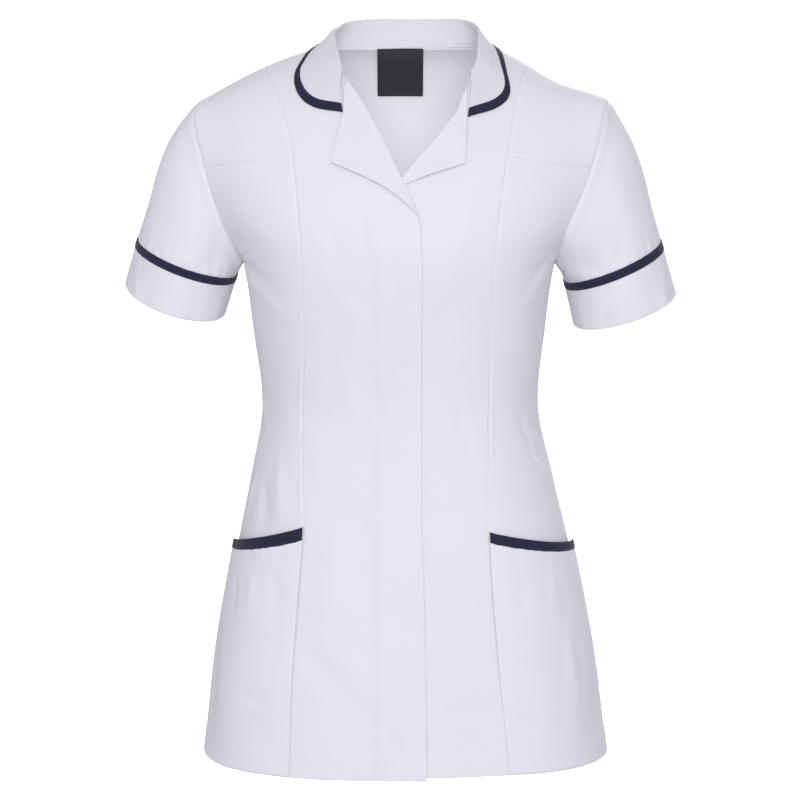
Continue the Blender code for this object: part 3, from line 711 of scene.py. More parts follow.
def sample(values, run, wanted):
    """Rows of values at these distances along their run."""
    return np.stack([np.interp(wanted, run, values[:, axis]) for axis in range(3)], axis=1)


def stitch_along(kind, line, normals, lift=CLOTH_WALL / 2):
    """Dashes of thread along a line of points, lying lift above it."""
    run = run_along(line)
    starts = np.arange(STITCH_PITCH / 2, run[-1] - STITCH_LENGTH, STITCH_PITCH)
    up = unit(sample(normals, run, starts))
    first, last = (sample(line, run, places) + lift * up for places in (starts, starts + STITCH_LENGTH))
    stitches[KINDS[kind][2]].extend(zip(first, last, up))


def crossing(grid, runs, wanted):
    """Where each row of a grid reaches this distance along its run."""
    return np.array([sample(row, run, [wanted])[0] for row, run in zip(grid, runs)])


def stitched(kind, points, edge, distance, keep=slice(None)):
    """Stitches at a distance from one edge of a sheet. keep picks part of their length."""
    normals = grid_normals(points)
    if edge in ("low", "high"):
        points, normals = points.transpose(1, 0, 2), normals.transpose(1, 0, 2)
    if edge in ("end", "high"):
        points, normals = points[:, ::-1], normals[:, ::-1]
    run = run_along(points, 1)
    stitch_along(kind, crossing(points, run, distance)[keep], crossing(normals, run, distance)[keep])


def worked(part, kind, side, sheet, relief, *rows, rests_on=()):
    """A sheet raised by its relief, sewn, and stitched along rows of edge, distance and part kept."""
    points = sheet[0] + relief[..., None] * sheet[1]
    sewn(part, kind, side, points, rests_on=rests_on)
    for row in rows:
        stitched(kind, points, *row)
    return points


# Depth of the princess seams' grooves, in mm, at a height
PRINCESS_GROOVE = (
    (-0.70, 0.50), (-0.47, 0.50), (-0.44, 0.38), (-0.36, 0.38), (-0.34, 0.60),
    (-0.29, 0.60), (-0.27, 0.28), (-0.19, 0.28), (-0.15, 0.85), (0.03, 0.85),
)
SEAM_GROOVE = 0.55 * MM
ARMHOLE_GROOVE = 0.42 * MM
ARMHOLE_STITCH = 5.5 * MM
ARMHOLE_STITCH_FROM = UNDERARM + 0.3
ARMHOLE_ALLOWANCE = 0.45 * MM
SIDE_PUCKER = 0.12 * MM
YOKE_STITCH = 5.0 * MM
YOKE_ALLOWANCE = 0.38 * MM
YOKE_PUCKER = 0.25 * MM
HEM_DEPTH = 23 * MM
HEM_LIFT = 0.45 * MM
HEM_GROOVE = 0.35 * MM
FLY_STITCH = -0.0262
FLY_STITCH_TOP = -0.142
FLY_RIDGE = 0.25 * MM
FLY_DIP = 0.12 * MM

# Cloth under the collar lies flat, above this level and within this distance of the centre line
COLLAR_FROM = (9.3, 10.2)
COLLAR_HALF = (0.100, 0.120)
COLLAR_FLATTENS = 0.85
# Folds fade towards the side seams, by turn, and towards the shoulder seams, by level
FADE_TURN = (1.30, 1.54)
FADE_LEVELS = 1.4


def torso_sheet(level, turn, behind=False, lift=0.0):
    """Points and normals of the torso's cloth, folds included. The folds fade at the side and shoulder seams."""
    base, normals = place(level, turn), outward(level, turn)
    fade = (1 - ease(*FADE_TURN, abs(turn))) * ease(0.0, FADE_LEVELS, abs(SHOULDER - level))
    collared = ease(*COLLAR_FROM, as_front(level)) * (1 - ease(*COLLAR_HALF, abs(base[..., 0])))
    fade = fade * (1 - COLLAR_FLATTENS * collared)
    height = OUTER_SKIN + lift + fade * body_relief(turn, base[..., 2], behind)
    return base + height[..., None] * normals, normals


def hem_relief(low):
    """The turned hem: its folded edge, its double cloth and the line of its stitches."""
    stitch = HEM_GROOVE * bell(low - HEM_DEPTH, 1.2 * MM)
    return round_edge(low) + HEM_LIFT * (1 - ease(HEM_DEPTH - 1 * MM, HEM_DEPTH + 1.5 * MM, low)) - stitch


def princess_relief(distance, points, seed):
    height = points[..., 2]
    groove = along(PRINCESS_GROOVE, height) * MM
    return seam_dip(distance, groove) + puckers(height, distance, 0.35 * groove, seed=seed)


# The armhole's edge stands up from the body, and the sleeve falls away from it
ARMHOLE_RISE = 3.0 * MM
ARMHOLE_RISE_REACH = 14 * MM


def armhole_relief(distance, level, points):
    """Groove of the armhole with its stitched allowance, and below it the plain groove of the side seam."""
    front_level = as_front(level)
    upper = ease(UNDERARM - 0.1, UNDERARM + 0.3, front_level)
    side = seam_dip(distance, SEAM_GROOVE) + puckers(points[..., 2], distance, SIDE_PUCKER, seed=31)
    arm = seam_dip(distance, ARMHOLE_GROOVE) + allowance(distance, ARMHOLE_STITCH, ARMHOLE_ALLOWANCE)
    round_arm = np.clip((front_level - UNDERARM) / (SHOULDER - UNDERARM), 0, 1)
    arm += ARMHOLE_RISE * bell(distance, ARMHOLE_RISE_REACH) * np.sin(math.pi * round_arm)
    return side + upper * (arm - side)


def centre_front(side):
    def at(level, share):
        level = level + above_hem(level, side) + 0 * share
        start, end = princess_turn(level, side), turn_at(level, front_edge(level, side))
        return level, start + (end - start) * share

    level, turn = spread_columns(at, sheet_levels(0, SHOULDER))
    across = place(level, turn)[..., 0]
    sheet = torso_sheet(level, turn, lift=fly_lift(level, across, side))
    points = sheet[0]
    seam, edge, low, high = edge_runs(points)
    relief = princess_relief(seam, points, 7 if side == "right" else 9) + hem_relief(low)
    relief += round_edge(edge) + seam_dip(high, SEAM_GROOVE)
    if side == "right":
        beyond = across - FLY_STITCH
        below = ease(FLY_STITCH_TOP + 0.012, FLY_STITCH_TOP, points[..., 2])
        ridge = FLY_RIDGE * ease(-1 * MM, 2.5 * MM, beyond) - FLY_DIP * bell(beyond, 1.6 * MM)
        relief += below * ridge
    points = worked("front", "cloth", side, sheet, relief, ("low", HEM_DEPTH))
    if side == "right":
        fly = points[:, 0, 2] < FLY_STITCH_TOP
        grids = points[fly], grid_normals(points)[fly]
        stitch_along("cloth", *(crossing(grid, grids[0][..., 0], FLY_STITCH) for grid in grids))


def side_line(level, share, side):
    """Level and turn at a share of the way from the princess seam to the armhole or the side seam."""
    start, end = princess_turn(level, side), armhole_turn(level, side)
    return level + 0 * share, start + (end - start) * share


def side_front(side):
    def at(level, share):
        return side_line(level + (1 - share) * above_hem(level, side), share, side)

    level, turn = spread_columns(at, sheet_levels(0, YOKE_LEVEL))
    sheet = torso_sheet(level, turn)
    points = sheet[0]
    seam, edge, low, high = edge_runs(points)
    relief = princess_relief(seam, points, 13) + armhole_relief(edge, level, points) + hem_relief(low)
    relief += seam_dip(high, SEAM_GROOVE) + puckers(points[..., 0], high, YOKE_PUCKER, seed=17)
    by_armhole = ("end", ARMHOLE_STITCH, level[:, -1] > ARMHOLE_STITCH_FROM)
    worked("side_front", "cloth", side, sheet, relief, ("low", HEM_DEPTH), by_armhole)


def yoke(side):
    def at(level, share):
        return side_line(level, share, side)

    level, turn = spread_columns(at, sheet_levels(YOKE_LEVEL, SHOULDER))
    sheet = torso_sheet(level, turn)
    points = sheet[0]
    seam, edge, low, high = edge_runs(points)
    relief = princess_relief(seam, points, 19) + armhole_relief(edge, level, points)
    relief += seam_dip(low, SEAM_GROOVE) + allowance(low, YOKE_STITCH, YOKE_ALLOWANCE) + seam_dip(high, SEAM_GROOVE)
    worked("yoke", "cloth", side, sheet, relief, ("low", YOKE_STITCH), ("end", ARMHOLE_STITCH))


def nape_level(across):
    """Level of the back neckline, counted as on the front."""
    share = np.minimum(abs(across) / NAPE_HALF, 1.0)
    return SHOULDER - NAPE_DEPTH * (1 - share**NAPE_SQUARE) ** (1 / NAPE_SQUARE)


def drawn_down(row_level, across_at_shoulder):
    """Level of a row of the back, the highest rows drawn down with the neckline."""
    top = nape_level(across_at_shoulder)
    drawn = (row_level - NAPE_ROWS_FROM) * (top - NAPE_ROWS_FROM) / (SHOULDER - NAPE_ROWS_FROM)
    return np.where(row_level > NAPE_ROWS_FROM, NAPE_ROWS_FROM + drawn, row_level + 0 * drawn)


def back_line(row_level, share):
    def turn_of(level):
        right, left = armhole_turn(level, "right"), armhole_turn(level, "left")
        return right + (left - right) * share

    level = drawn_down(row_level, place(SHOULDER, turn_of(np.float64(SHOULDER)))[..., 0])
    return 2 * SHOULDER - level, turn_of(level)


# Waist darts of the back: shares across the back, and the heights where they start, are full and end
DART_SHARES = (0.285, 0.715)
DART_HEIGHTS = (-0.455, -0.425, -0.240, -0.200)
DART_GROOVE = 0.75 * MM
DART_PUCKER = 0.30 * MM


def back():
    level, turn = spread_columns(back_line, sheet_levels(0, SHOULDER, BACK_CELL), BACK_CELL, DART_SHARES)
    sheet = torso_sheet(level, turn, True)
    points = sheet[0]
    start, end, low, high = edge_runs(points)
    relief = armhole_relief(start, level, points) + armhole_relief(end, level, points) + hem_relief(low)
    relief += seam_dip(high, SEAM_GROOVE)
    bottom, full_from, full_to, top = DART_HEIGHTS
    height = points[..., 2]
    full = ease(bottom, full_from, height) * (1 - ease(full_to, top, height))
    for share in DART_SHARES:
        aside = abs(start - share * start[:, -1:])
        relief += full * (seam_dip(aside, DART_GROOVE) + puckers(height, aside, DART_PUCKER, seed=41))
    by_armhole = as_front(level[:, 0]) > ARMHOLE_STITCH_FROM
    armholes = ((edge, ARMHOLE_STITCH, by_armhole) for edge in ("start", "end"))
    worked("back", "cloth", None, sheet, relief, ("low", HEM_DEPTH), *armholes)


LAPEL_ROWS = 120
LAPEL_COLUMNS = 44
ROLL_STEPS = 8
LAPEL_CUT = (0.055, 0.130)
LAPEL_STAND_OFF = 2.0 * MM
LAPEL_STAND_REACH = 18 * MM
LAPEL_STITCH = 4.5 * MM
# The left lapel's foot is pressed down where it goes under the right front
LAPEL_TUCK = 1.2 * MM
LAPEL_TUCK_ACROSS = (0.002, 0.016)


def lapel(side):
    """The turned-back front: a round roll, and the facing out to its edge."""
    collar_end, corner, point, foot = LAPELS[side]
    share = np.linspace(0, 1, LAPEL_ROWS)[:, None]
    outer = ((0.0, *collar_end), (LAPEL_CORNER_SHARE, *corner), (1.0, *point))
    roll_level = collar_end[0] + (foot[0] - collar_end[0]) * share
    roll = front_edge(roll_level, side) + SIDES[side] * SEAM_GAP
    if side == "left":
        roll = np.maximum(roll, foot[1])
    spread = np.minimum(1, LAPEL_TOP_SHARE + (1 - LAPEL_TOP_SHARE) * share * LAPEL_TOP_SPREAD)
    part = np.linspace(0, 1, LAPEL_COLUMNS) * spread
    level = roll_level + (along(outer, share, 1) - roll_level) * part
    level += LAPEL_FOOT_BOW[side] * ease(0.5, 1.0, share) * np.sin(math.pi * part**0.7)
    across = roll + (along(outer, share, 2) - roll) * part
    under, normals = torso_sheet(level, turn_at(level, across), lift=fly_lift(level, across, side))
    inward = unit(under[:, :1] - under[:, 6:7])
    angles = np.linspace(-math.pi / 2, math.pi / 2, ROLL_STEPS)[None, :, None]
    rolled = under[:, :1] + LAYER / 2 * ((1 + np.sin(angles)) * normals[:, :1] + np.cos(angles) * inward)
    _, edge, _, foot_run = edge_runs(under)
    away = 1 - np.minimum(edge, foot_run) / LAPEL_STAND_REACH
    flat = LAYER + LAPEL_STAND_OFF * np.clip(away, 0, 1) ** 2 * ease(0.1, 0.7, share)
    flat += round_edge(edge) + round_edge(foot_run)
    if side == "left":
        flat -= LAPEL_TUCK * (1 - ease(*LAPEL_TUCK_ACROSS, across)) * ease(0.7, 1.0, share)
    laid = under + flat[..., None] * normals
    points = np.concatenate([rolled, laid[:, 1:]], axis=1)
    sewn("lapel", "cloth", side, points, cut=LAPEL_CUT, rests_on=(f"front_cloth_{side}",))
    for edge in ("end", "high"):
        stitched("cloth", points, edge, LAPEL_STITCH)


COLLAR_STATIONS = 300
LEAF_POINTS = 14
LEAF_INSIDE = 0.8 * MM
LEAF_LAP = 1.4 * MM
LEAF_CROSSING = (0.12, 0.75)
# Levels from which the inner leaf crosses over to the inside of the back
LEAF_BEHIND = (14.2, 15.2)
FOLD_POINTS = 11
FALL_POINTS = 44
FOLD_RISE = 0.8
# Points of a profile up to 9 mm from its outer edge, and the distances of the rest
COLLAR_INNER = 46
COLLAR_EDGE_STOPS = np.array((9.0, 8.0, 7.0, 6.0, 5.0, 4.0, 3.0, 2.2, 1.5, 0.9, 0.4, 0.0)) * MM


def collar_rows():
    """COLLAR from the right front end round the back to the left one, with distances signed."""
    halves = []
    for side, sign in SIDES.items():
        rows = []
        for level, across, forward, *shaped in COLLAR.values():
            lean, up = shaped[:2] if side == "right" else shaped[2:4]
            edge_level, edge_across = shaped[4:6] if side == "right" else shaped[6:]
            lengths = MM * np.array((sign * across, sign * lean, -forward, up, sign * edge_across))
            rows.append((level, edge_level, *lengths))
        halves.append(rows)
    return halves[0][::-1] + halves[1][1:]


def collar_profiles():
    """A polyline for each station: up the inner leaf, over the fold and down the fall to the outer edge."""
    rows = collar_rows()
    stations = between(rows, np.linspace(0, len(rows) - 1, COLLAR_STATIONS))[:, None]
    level, edge_level, across, *stand, edge_across = np.moveaxis(stations, -1, 0)
    stand = np.stack(stand, axis=-1)
    turn = turn_at(level, across)
    normal = outward(level, turn)
    seam = place(level, turn) + LAYER * normal
    upward = unit(stand)
    out = unit(normal - np.sum(normal * upward, axis=-1, keepdims=True) * upward)
    behind = ease(*LEAF_BEHIND, level)[..., None]
    tucked = seam - behind * ((LAYER + LEAF_INSIDE) * normal + LEAF_LAP * upward)
    rise = np.linspace(0.0, 0.97, LEAF_POINTS)[:, None]
    crossed = ease(*LEAF_CROSSING, rise)
    leaf = tucked * (1 - crossed) + seam * crossed + rise * stand
    angles = np.linspace(0, math.pi, FOLD_POINTS)[:, None]
    rounded = (1 - np.cos(angles)) * out + FOLD_RISE * np.sin(angles) * upward
    fold = seam + stand + FOLD_WIDTH / 2 * rounded
    share = np.linspace(0.03, 1, FALL_POINTS)
    fall_level = level + (edge_level - level) * share
    fall_turn = turn_at(fall_level, across + (edge_across - across) * share)
    base = place(fall_level, fall_turn) + (LAYER + FALL_CLEAR) * outward(fall_level, fall_turn)
    fall = base + ((1 - share) ** 2)[:, None] * (stand + FOLD_WIDTH * out)
    return np.concatenate([leaf, fold, fall], axis=1)


def collar_sheet():
    """The profiles with their points spread by distance, those near the outer edge at true distances from it."""
    spread = []
    for line in collar_profiles():
        run = run_along(line)
        outer = run[-1] - COLLAR_EDGE_STOPS
        spread.append(sample(line, run, np.concatenate([np.linspace(0, outer[0], COLLAR_INNER)[:-1], outer])))
    return np.array(spread)


# Creases of the collar: shares along it and of its depth from the inner seam, with width and depth in mm
COLLAR_DEEP = 70 * MM
COLLAR_FOLDS = (
    # from along, down, to along, down, width, depth
    (0.30, 0.20, 0.33, 0.42, 4, -0.5),
    (0.685, 0.36, 0.715, 0.60, 4, -0.7),
    (0.70, 0.30, 0.73, 0.55, 4, 0.5),
    (0.12, 0.40, 0.16, 0.90, 6, -0.5),
    (0.86, 0.45, 0.90, 0.85, 6, -0.5),
)


def collar():
    base = collar_sheet()
    normals = grid_normals(base)
    inner, outer, around, _ = edge_runs(base)
    total = 0.25 * MM * soft_noise(around, inner, 0.030, 61)
    length = around[-1].max()
    for along0, down0, along1, down1, width, depth in COLLAR_FOLDS:
        ends = (along0 * length, down0 * COLLAR_DEEP), (along1 * length, down1 * COLLAR_DEEP)
        total += fold_height(around, inner, *ends, width * MM, depth * MM, 0.0)
    total *= ease(0, 6 * MM, inner) * ease(0, 10 * MM, outer) * ease(12 * MM, 32 * MM, inner[:, -1:])
    total += round_edge(outer)
    points = base + total[..., None] * normals
    sewn("collar", "cloth", None, points, COLLAR_PAINTED_SHADE_WHITE, rests_on=("back_cloth",))
    collar_binding(points, grid_normals(points))


BINDING_LIFT = 0.75 * MM
BINDING_WRAP = (0.15, math.radians(195))
BINDING_STITCH = 1.6 * MM
BINDING_STOPS = np.array((8.0, 7.8, 7.4, 6.8, 6.0, 5.0, 4.0, 3.0, 2.0, 1.2, 0.6)) * MM


def collar_binding(points, normals):
    """A tape folded over the collar's outer edge."""
    run = edge_runs(points)[1]
    lift = BINDING_LIFT + round_edge(BINDING_WIDTH - BINDING_STOPS, 0.5 * MM)
    angles = np.linspace(*BINDING_WRAP, 8)[:, None]
    strips = []
    for row, up, places in zip(points, normals, run):
        top, raised = (sample(values[::-1], places[::-1], BINDING_STOPS) for values in (row, up))
        top = top + lift[:, None] * raised
        way = unit(row[-1] - row[-6])
        way = unit(way - way.dot(up[-1]) * up[-1])
        strips.append(np.concatenate([top, row[-1] + BINDING_LIFT * (np.cos(angles) * up[-1] + np.sin(angles) * way)]))
    tape = np.array(strips)
    flat = len(BINDING_STOPS) - 1
    sewn("collar_binding", "tape", None, tape, rests_on=("collar_cloth",))
    stitched("tape", tape[:, :flat], "start", BINDING_STITCH)


def oval(side, name, grow=0.0):
    """Points round a sleeve's oval. Angle 0 is its outer side, and a quarter turn its front."""
    centre, halves, tilt_down, tilt_back = SLEEVES[side][name]
    down, rear = math.radians(tilt_down), math.radians(tilt_back)
    outer = np.array((SIDES[side] * math.cos(down), 0, math.sin(down)))
    front = np.array((0, -math.cos(rear), -math.sin(rear)))
    reach = (halves[0] + grow) * np.cos(SLEEVE_ANGLES), (halves[1] + grow) * np.sin(SLEEVE_ANGLES)
    return np.array(centre) + np.outer(reach[0], outer) + np.outer(reach[1], front)


SLEEVE_POINTS = 192
SLEEVE_RADIUS = 0.0525
SLEEVE_STEPS = (0.019, 0.12)
# Folds of the sleeves: angle round in degrees, 90 at the front, and the rest in mm, down from the armhole
SLEEVE_FOLDS = {
    # from angle, down, to angle, down, width, depth, bow
    "right": (
        (50, 10, 60, 112, 16, -0.9, 4), (22, 30, 30, 122, 9, 0.5, 2), (88, 40, 92, 122, 14, 1, -1),
        (128, 12, 116, 105, 9, -1.8, 2), (8, 60, 4, 125, 7, -1, 0), (78, 90, 84, 124, 4.5, -0.9, 0),
        (56, 98, 54, 124, 4, -0.8, 0), (150, 20, 138, 90, 8, 1.3, 0), (215, 12, 240, 105, 10, -2.6, 3),
        (250, 40, 262, 118, 11, 1.8, 0), (285, 20, 288, 115, 9, -2.2, 2), (320, 50, 322, 122, 9, 1.3, 0),
    ),
    "left": (
        (86, 60, 90, 125, 10, -1.5, 2), (64, 30, 62, 122, 12, 1, 2), (42, 12, 44, 118, 10, -0.7, 1),
        (152, 10, 142, 52, 12, 2.2, 0), (120, 20, 112, 112, 9, -1.6, -2), (138, 30, 128, 100, 8, 1.4, 0),
        (104, 94, 100, 124, 4, 0.9, 0), (16, 40, 10, 125, 9, -1.2, 0), (32, 3, 20, 16, 3.2, -1.6, 0),
        (212, 12, 236, 105, 10, -2.6, 3), (246, 45, 258, 118, 11, 1.8, 0), (282, 20, 284, 115, 9, -2, 2),
        (318, 40, 324, 120, 9, 1.4, 0),
    ),
}
HEAD_FULLNESS = 0.9 * MM
HEAD_FROM = 7 * MM
HEAD_REACH = 5 * MM
HEAD_PUCKER = 0.45 * MM
BAND_PUCKER = 1.15 * MM
UNDERARM_GROOVE = 0.4 * MM
SLEEVE_RISE = 2.2 * MM
SLEEVE_RISE_REACH = 9.0 * MM
SLEEVE_ANGLES = np.linspace(0, 2 * math.pi, SLEEVE_POINTS + 1)


def sleeve_axis(side):
    """Way from the middle of the band to the middle of the sleeve's hem."""
    return np.array(SLEEVES[side]["hem"][0]) - np.array(SLEEVES[side]["band"][0])


def armhole_loop(side):
    """Points evenly round the armhole: shoulder tip, front, underarm, back, shoulder tip."""
    halves = []
    for first, last, behind in ((SHOULDER, UNDERARM, False), (2 * SHOULDER - UNDERARM, SHOULDER, True)):
        level = np.linspace(first, last, 240)
        turn = armhole_turn(as_front(level), side)
        fine = torso_sheet(level, turn, behind)[0]
        run = run_along(fine)
        halves.append(sample(fine, run, np.linspace(0, run[-1], SLEEVE_POINTS // 2 + 1)))
    return np.concatenate([halves[0], halves[1][1:]])


def sleeve_points(side):
    """Rows of points from the armhole to the band, and on under the band."""
    angles = SLEEVE_ANGLES
    clear = SEAM_GAP + UNDERARM_CLEAR * (1 - np.cos(angles)) / 2
    first, last = armhole_loop(side) + np.outer(clear, (SIDES[side], 0, 0)), oval(side, "band")
    reach = np.linalg.norm(last - first, axis=1, keepdims=True)
    head, under = LEAN_OUT[side]
    out = under + (head - under) * (1 + np.cos(angles)) / 2
    way = np.stack([SIDES[side] * out, -LEAN_FORWARD * np.sin(angles), -np.sqrt(1 - out * out)], axis=1)
    leave, arrive = reach * unit(way), reach * unit(sleeve_axis(side))
    rows = [hermite(share, first, leave, last, arrive) for share in edge_shares(*SLEEVE_STEPS)]
    stub = [cuff_row(side, share, 0.0) for share in np.linspace(0, BAND_SHARE, 5)[1:]]
    return np.array(rows + stub), len(rows)


def cuff_row(side, share, grow):
    """Row of points round the sleeve, from share 0 at the band's top edge to 1 at the sleeve's hem."""
    return (1 - share) * oval(side, "band", grow) + share * oval(side, "hem", grow)


def sleeve(side):
    base, to_band = sleeve_points(side)
    normals = grid_normals(base, True, np.mean(base.reshape(-1, 3), axis=0))
    angles = SLEEVE_ANGLES[None, :] + 0 * base[..., 0]
    around = SLEEVE_RADIUS * angles
    down = edge_runs(base)[2]
    above_band = np.maximum(0, down[to_band - 1][None, :] - down)
    total = 0.25 * MM * soft_noise(SLEEVE_RADIUS * np.cos(angles), down + SLEEVE_RADIUS * np.sin(angles), 0.03, 71)
    for angle0, down0, angle1, down1, *shape in SLEEVE_FOLDS[side]:
        first, last = math.radians(angle0), math.radians(angle1)
        opposite = (first + last) / 2 - math.pi
        near = SLEEVE_RADIUS * ((angles - opposite) % (2 * math.pi) + opposite)
        ends = (SLEEVE_RADIUS * first, down0 * MM), (SLEEVE_RADIUS * last, down1 * MM)
        total += fold_height(near, down, *ends, *(MM * np.array(shape)))
    total *= ease(0, 12 * MM, down) * ease(0, 10 * MM, above_band)
    head = np.cos(angles / 2) ** 2
    total += HEAD_FULLNESS * (0.35 + 0.65 * head) * bell(down - HEAD_FROM, HEAD_REACH)
    total += puckers(around, down, HEAD_PUCKER, 0.012, 0.012, 73) * (0.4 + 0.6 * head)
    total += puckers(around, above_band, BAND_PUCKER, 0.0115, 0.009, 75) * ease(0, 2 * MM, above_band)
    underarm = SLEEVE_RADIUS * abs(angles - math.pi)
    total += seam_dip(down, ARMHOLE_GROOVE) + seam_dip(underarm, UNDERARM_GROOVE)
    total += SLEEVE_RISE * bell(down, SLEEVE_RISE_REACH) * abs(np.sin(angles))
    sewn("sleeve", "cloth", side, base + total[..., None] * normals, closed=True, rests_on=("back_cloth",))


BAND_LIFT = 1.5 * MM
BAND_RIPPLE = 0.15 * MM
BAND_SHARES = np.array((0.0, 0.004, 0.012, 0.03, 0.06, 0.095, 0.125, 0.143, 0.151, BAND_SHARE))
CUFF_TALL = 42 * MM


def sleeve_band(side):
    """The navy tape round the top of the cuff, its edges turned under."""
    lifts = BAND_LIFT + round_edge(np.minimum(BAND_SHARES, BAND_SHARE - BAND_SHARES) * CUFF_TALL, 0.5 * MM)
    base = np.array([cuff_row(side, share, lift) for share, lift in zip(BAND_SHARES, lifts)])
    ripple = BAND_RIPPLE * soft_noise(SLEEVE_RADIUS * SLEEVE_ANGLES, 0 * SLEEVE_ANGLES, 0.03, 81)
    ripple = ripple * np.sin(SLEEVE_ANGLES / 2) ** 2
    base = base + ripple[None, :, None] * grid_normals(base, True, np.mean(base, axis=(0, 1)))
    sewn("sleeve_band", "tape", side, base, closed=True)
    normals = grid_normals(base, True, np.mean(base, axis=(0, 1)))
    for row in (3, -4):
        stitch_along("tape", base[row], normals[row], TAPE_WALL / 2)


CUFF_TURN = 1.0 * MM
CUFF_INSIDE = 0.30
CUFF_ROWS = 20
# Folds of the cuffs: angle round in degrees, the radians that it leans by at the hem, width and depth in mm
CUFF_FOLDS = (
    (30, 0.25, 6, 1.4), (62, -0.10, 6, -1.3), (88, 0.15, 7, 1.1), (112, 0.05, 6, -1.1), (150, -0.10, 8, 1.0),
    (215, 0.10, 7, -1.1), (262, -0.05, 8, 1.1), (305, 0.10, 7, -1.0), (340, 0.00, 7, 0.8),
)


def cuff(side):
    """The turned cuff: its outside, the fold at the sleeve's hem and a strip of its inside."""
    angles, axis = SLEEVE_ANGLES, sleeve_axis(side)
    tall = np.linalg.norm(axis)
    low = 1 - CUFF_TURN / tall
    rows = [cuff_row(side, share, LAYER / 2) for share in np.linspace(BAND_SHARE + 2 * SEAM_GAP / tall, low, CUFF_ROWS)]
    for lap in np.linspace(0, math.pi, 9)[1:]:
        ring = cuff_row(side, low, LAYER / 2 - CUFF_TURN * (1 - math.cos(lap)))
        rows.append(ring + CUFF_TURN * math.sin(lap) * axis / tall)
    rows += [cuff_row(side, share, LAYER / 2 - 2 * CUFF_TURN) for share in np.linspace(low, 1 - CUFF_INSIDE, 6)[1:]]
    base = np.array(rows)
    middle = np.mean(cuff_row(side, low, LAYER / 2 - CUFF_TURN), axis=0)
    outward_way = unit(base[:CUFF_ROWS].mean(axis=0) - middle)[None]
    fall = np.minimum(np.arange(len(base)) / (CUFF_ROWS - 1), 1)[:, None]
    total = 0.2 * MM * soft_noise(SLEEVE_RADIUS * np.cos(angles), SLEEVE_RADIUS * np.sin(angles), 0.03, 91) + 0 * fall
    for angle, lean, width, depth in CUFF_FOLDS:
        aside = SLEEVE_RADIUS * (angles[None, :] - math.radians(angle) - lean * fall)
        total += depth * MM * (0.25 + 0.75 * fall) * bell(aside, width * MM)
    total *= ease(0, 0.25, fall)
    points = base + total[..., None] * outward_way
    sewn("cuff", "cloth", side, points, closed=True, rests_on=(f"sleeve_cloth_{side}",))
    stitch_along("cloth", points[1], grid_normals(points[:CUFF_ROWS], True, middle)[1])


def mouth_rise(share):
    """How far a pocket's mouth rises from its inner end, without its drop, sag and corner."""
    return (POCKET_MOUTH_SIDE - POCKET_MOUTH_INNER) * share**MOUTH_BEND


def mouth_level(side, share):
    """Level of a pocket's mouth, from share 0 at the princess seam to 1 at its rounded end by the side seam."""
    drop_inner, drop_outer = POCKET_MOUTH_DROP[side]
    level = POCKET_MOUTH_INNER + mouth_rise(share) - drop_inner - (drop_outer - drop_inner) * share
    corner = np.clip((share - MOUTH_CORNER_FROM) / (1 - MOUTH_CORNER_FROM), 0, 1)
    return level - POCKET_MOUTH_SAG * np.sin(math.pi * share) - POCKET_CORNER[side] * corner**2


def pocket_lift(level, share):
    """Height over the side front: flat where it is sewn, standing off at the mouth."""
    swell = np.sin(math.pi * (POCKET_SWELL_START + POCKET_SWELL_RUN * share))
    sewn_down = np.minimum(ease(0, 0.10, share), ease(0, 0.06, 1 - share))
    flat = POCKET_LOW + (POCKET_HIGH - POCKET_LOW) * sewn_down
    return flat + POCKET_STAND_OFF * swell * ease(POCKET_FLAT_LEVEL, POCKET_MOUTH_SIDE, level)


def pocket(side):
    shares = edge_shares(*POCKET_STEPS_ACROSS)[None, :]
    inner, outer = POCKET_BINDING_LEVELS[side]
    square = np.minimum(shares, MOUTH_CORNER_FROM)
    foot = mouth_level(side, square) + mouth_rise(shares) - mouth_rise(square) - inner - (outer - inner) * shares
    hem = hem_level(side) * (1 - shares) + POCKET_FOOT_LEVEL

    def sheet(low, high, rows, lift=0.0):
        level = low + (high - low) * np.array(rows)[:, None]
        turn = side_line(level, shares, side)[1]
        made = torso_sheet(level, turn, lift=pocket_lift(level, shares) + lift)
        return made, *edge_runs(made[0])

    cloth, seam, edge, low, high = sheet(hem, foot, edge_shares(*POCKET_STEPS_UP))
    relief = seam_dip(seam, 0.3 * MM) + seam_dip(edge, 0.4 * MM) + hem_relief(low)
    relief += puckers(seam, high, POCKET_PUCKER, 0.013, 0.012, 97)
    worked("pocket", "cloth", side, cloth, relief, ("low", HEM_DEPTH), rests_on=(f"side_front_cloth_{side}",))
    tape, _, _, low, high = sheet(foot, mouth_level(side, shares), POCKET_TAPE_ROWS, POCKET_TAPE_LIFT)
    relief = round_edge(low, 0.5 * MM) + round_edge(high)
    worked("pocket_binding", "tape", side, tape, relief, ("low", POCKET_TAPE_STITCH))


def neck_label():
    """A bare woven label inside the back, with turned edges."""
    across = LABEL_CENTRE + LABEL_HALF * np.linspace(-1, 1, 48)[None, :]
    rows = np.linspace(*LABEL_ROWS, 44)[:, None]
    level = 2 * SHOULDER - drawn_down(rows, across)
    turn = turn_at(level, across + 0 * level)
    points, normals = torso_sheet(level, turn, True, -LABEL_CLEAR - CLOTH_WALL)
    start, end, low, high = edge_runs(points)
    edge = np.minimum(np.minimum(start, end), np.minimum(low, high))
    points = points - (round_edge(edge, 0.5 * MM) + 0.1 * MM * soft_noise(start, low, 0.02, 101))[..., None] * normals
    sewn("neck_label", "weave", None, points, rests_on=("back_cloth",))


DASH = (
    #  along  half width  height
    (0.00, 0.45, -0.4),
    (0.18, 1.00, 0.6),
    (0.82, 1.00, 0.6),
    (1.00, 0.45, -0.4),
)


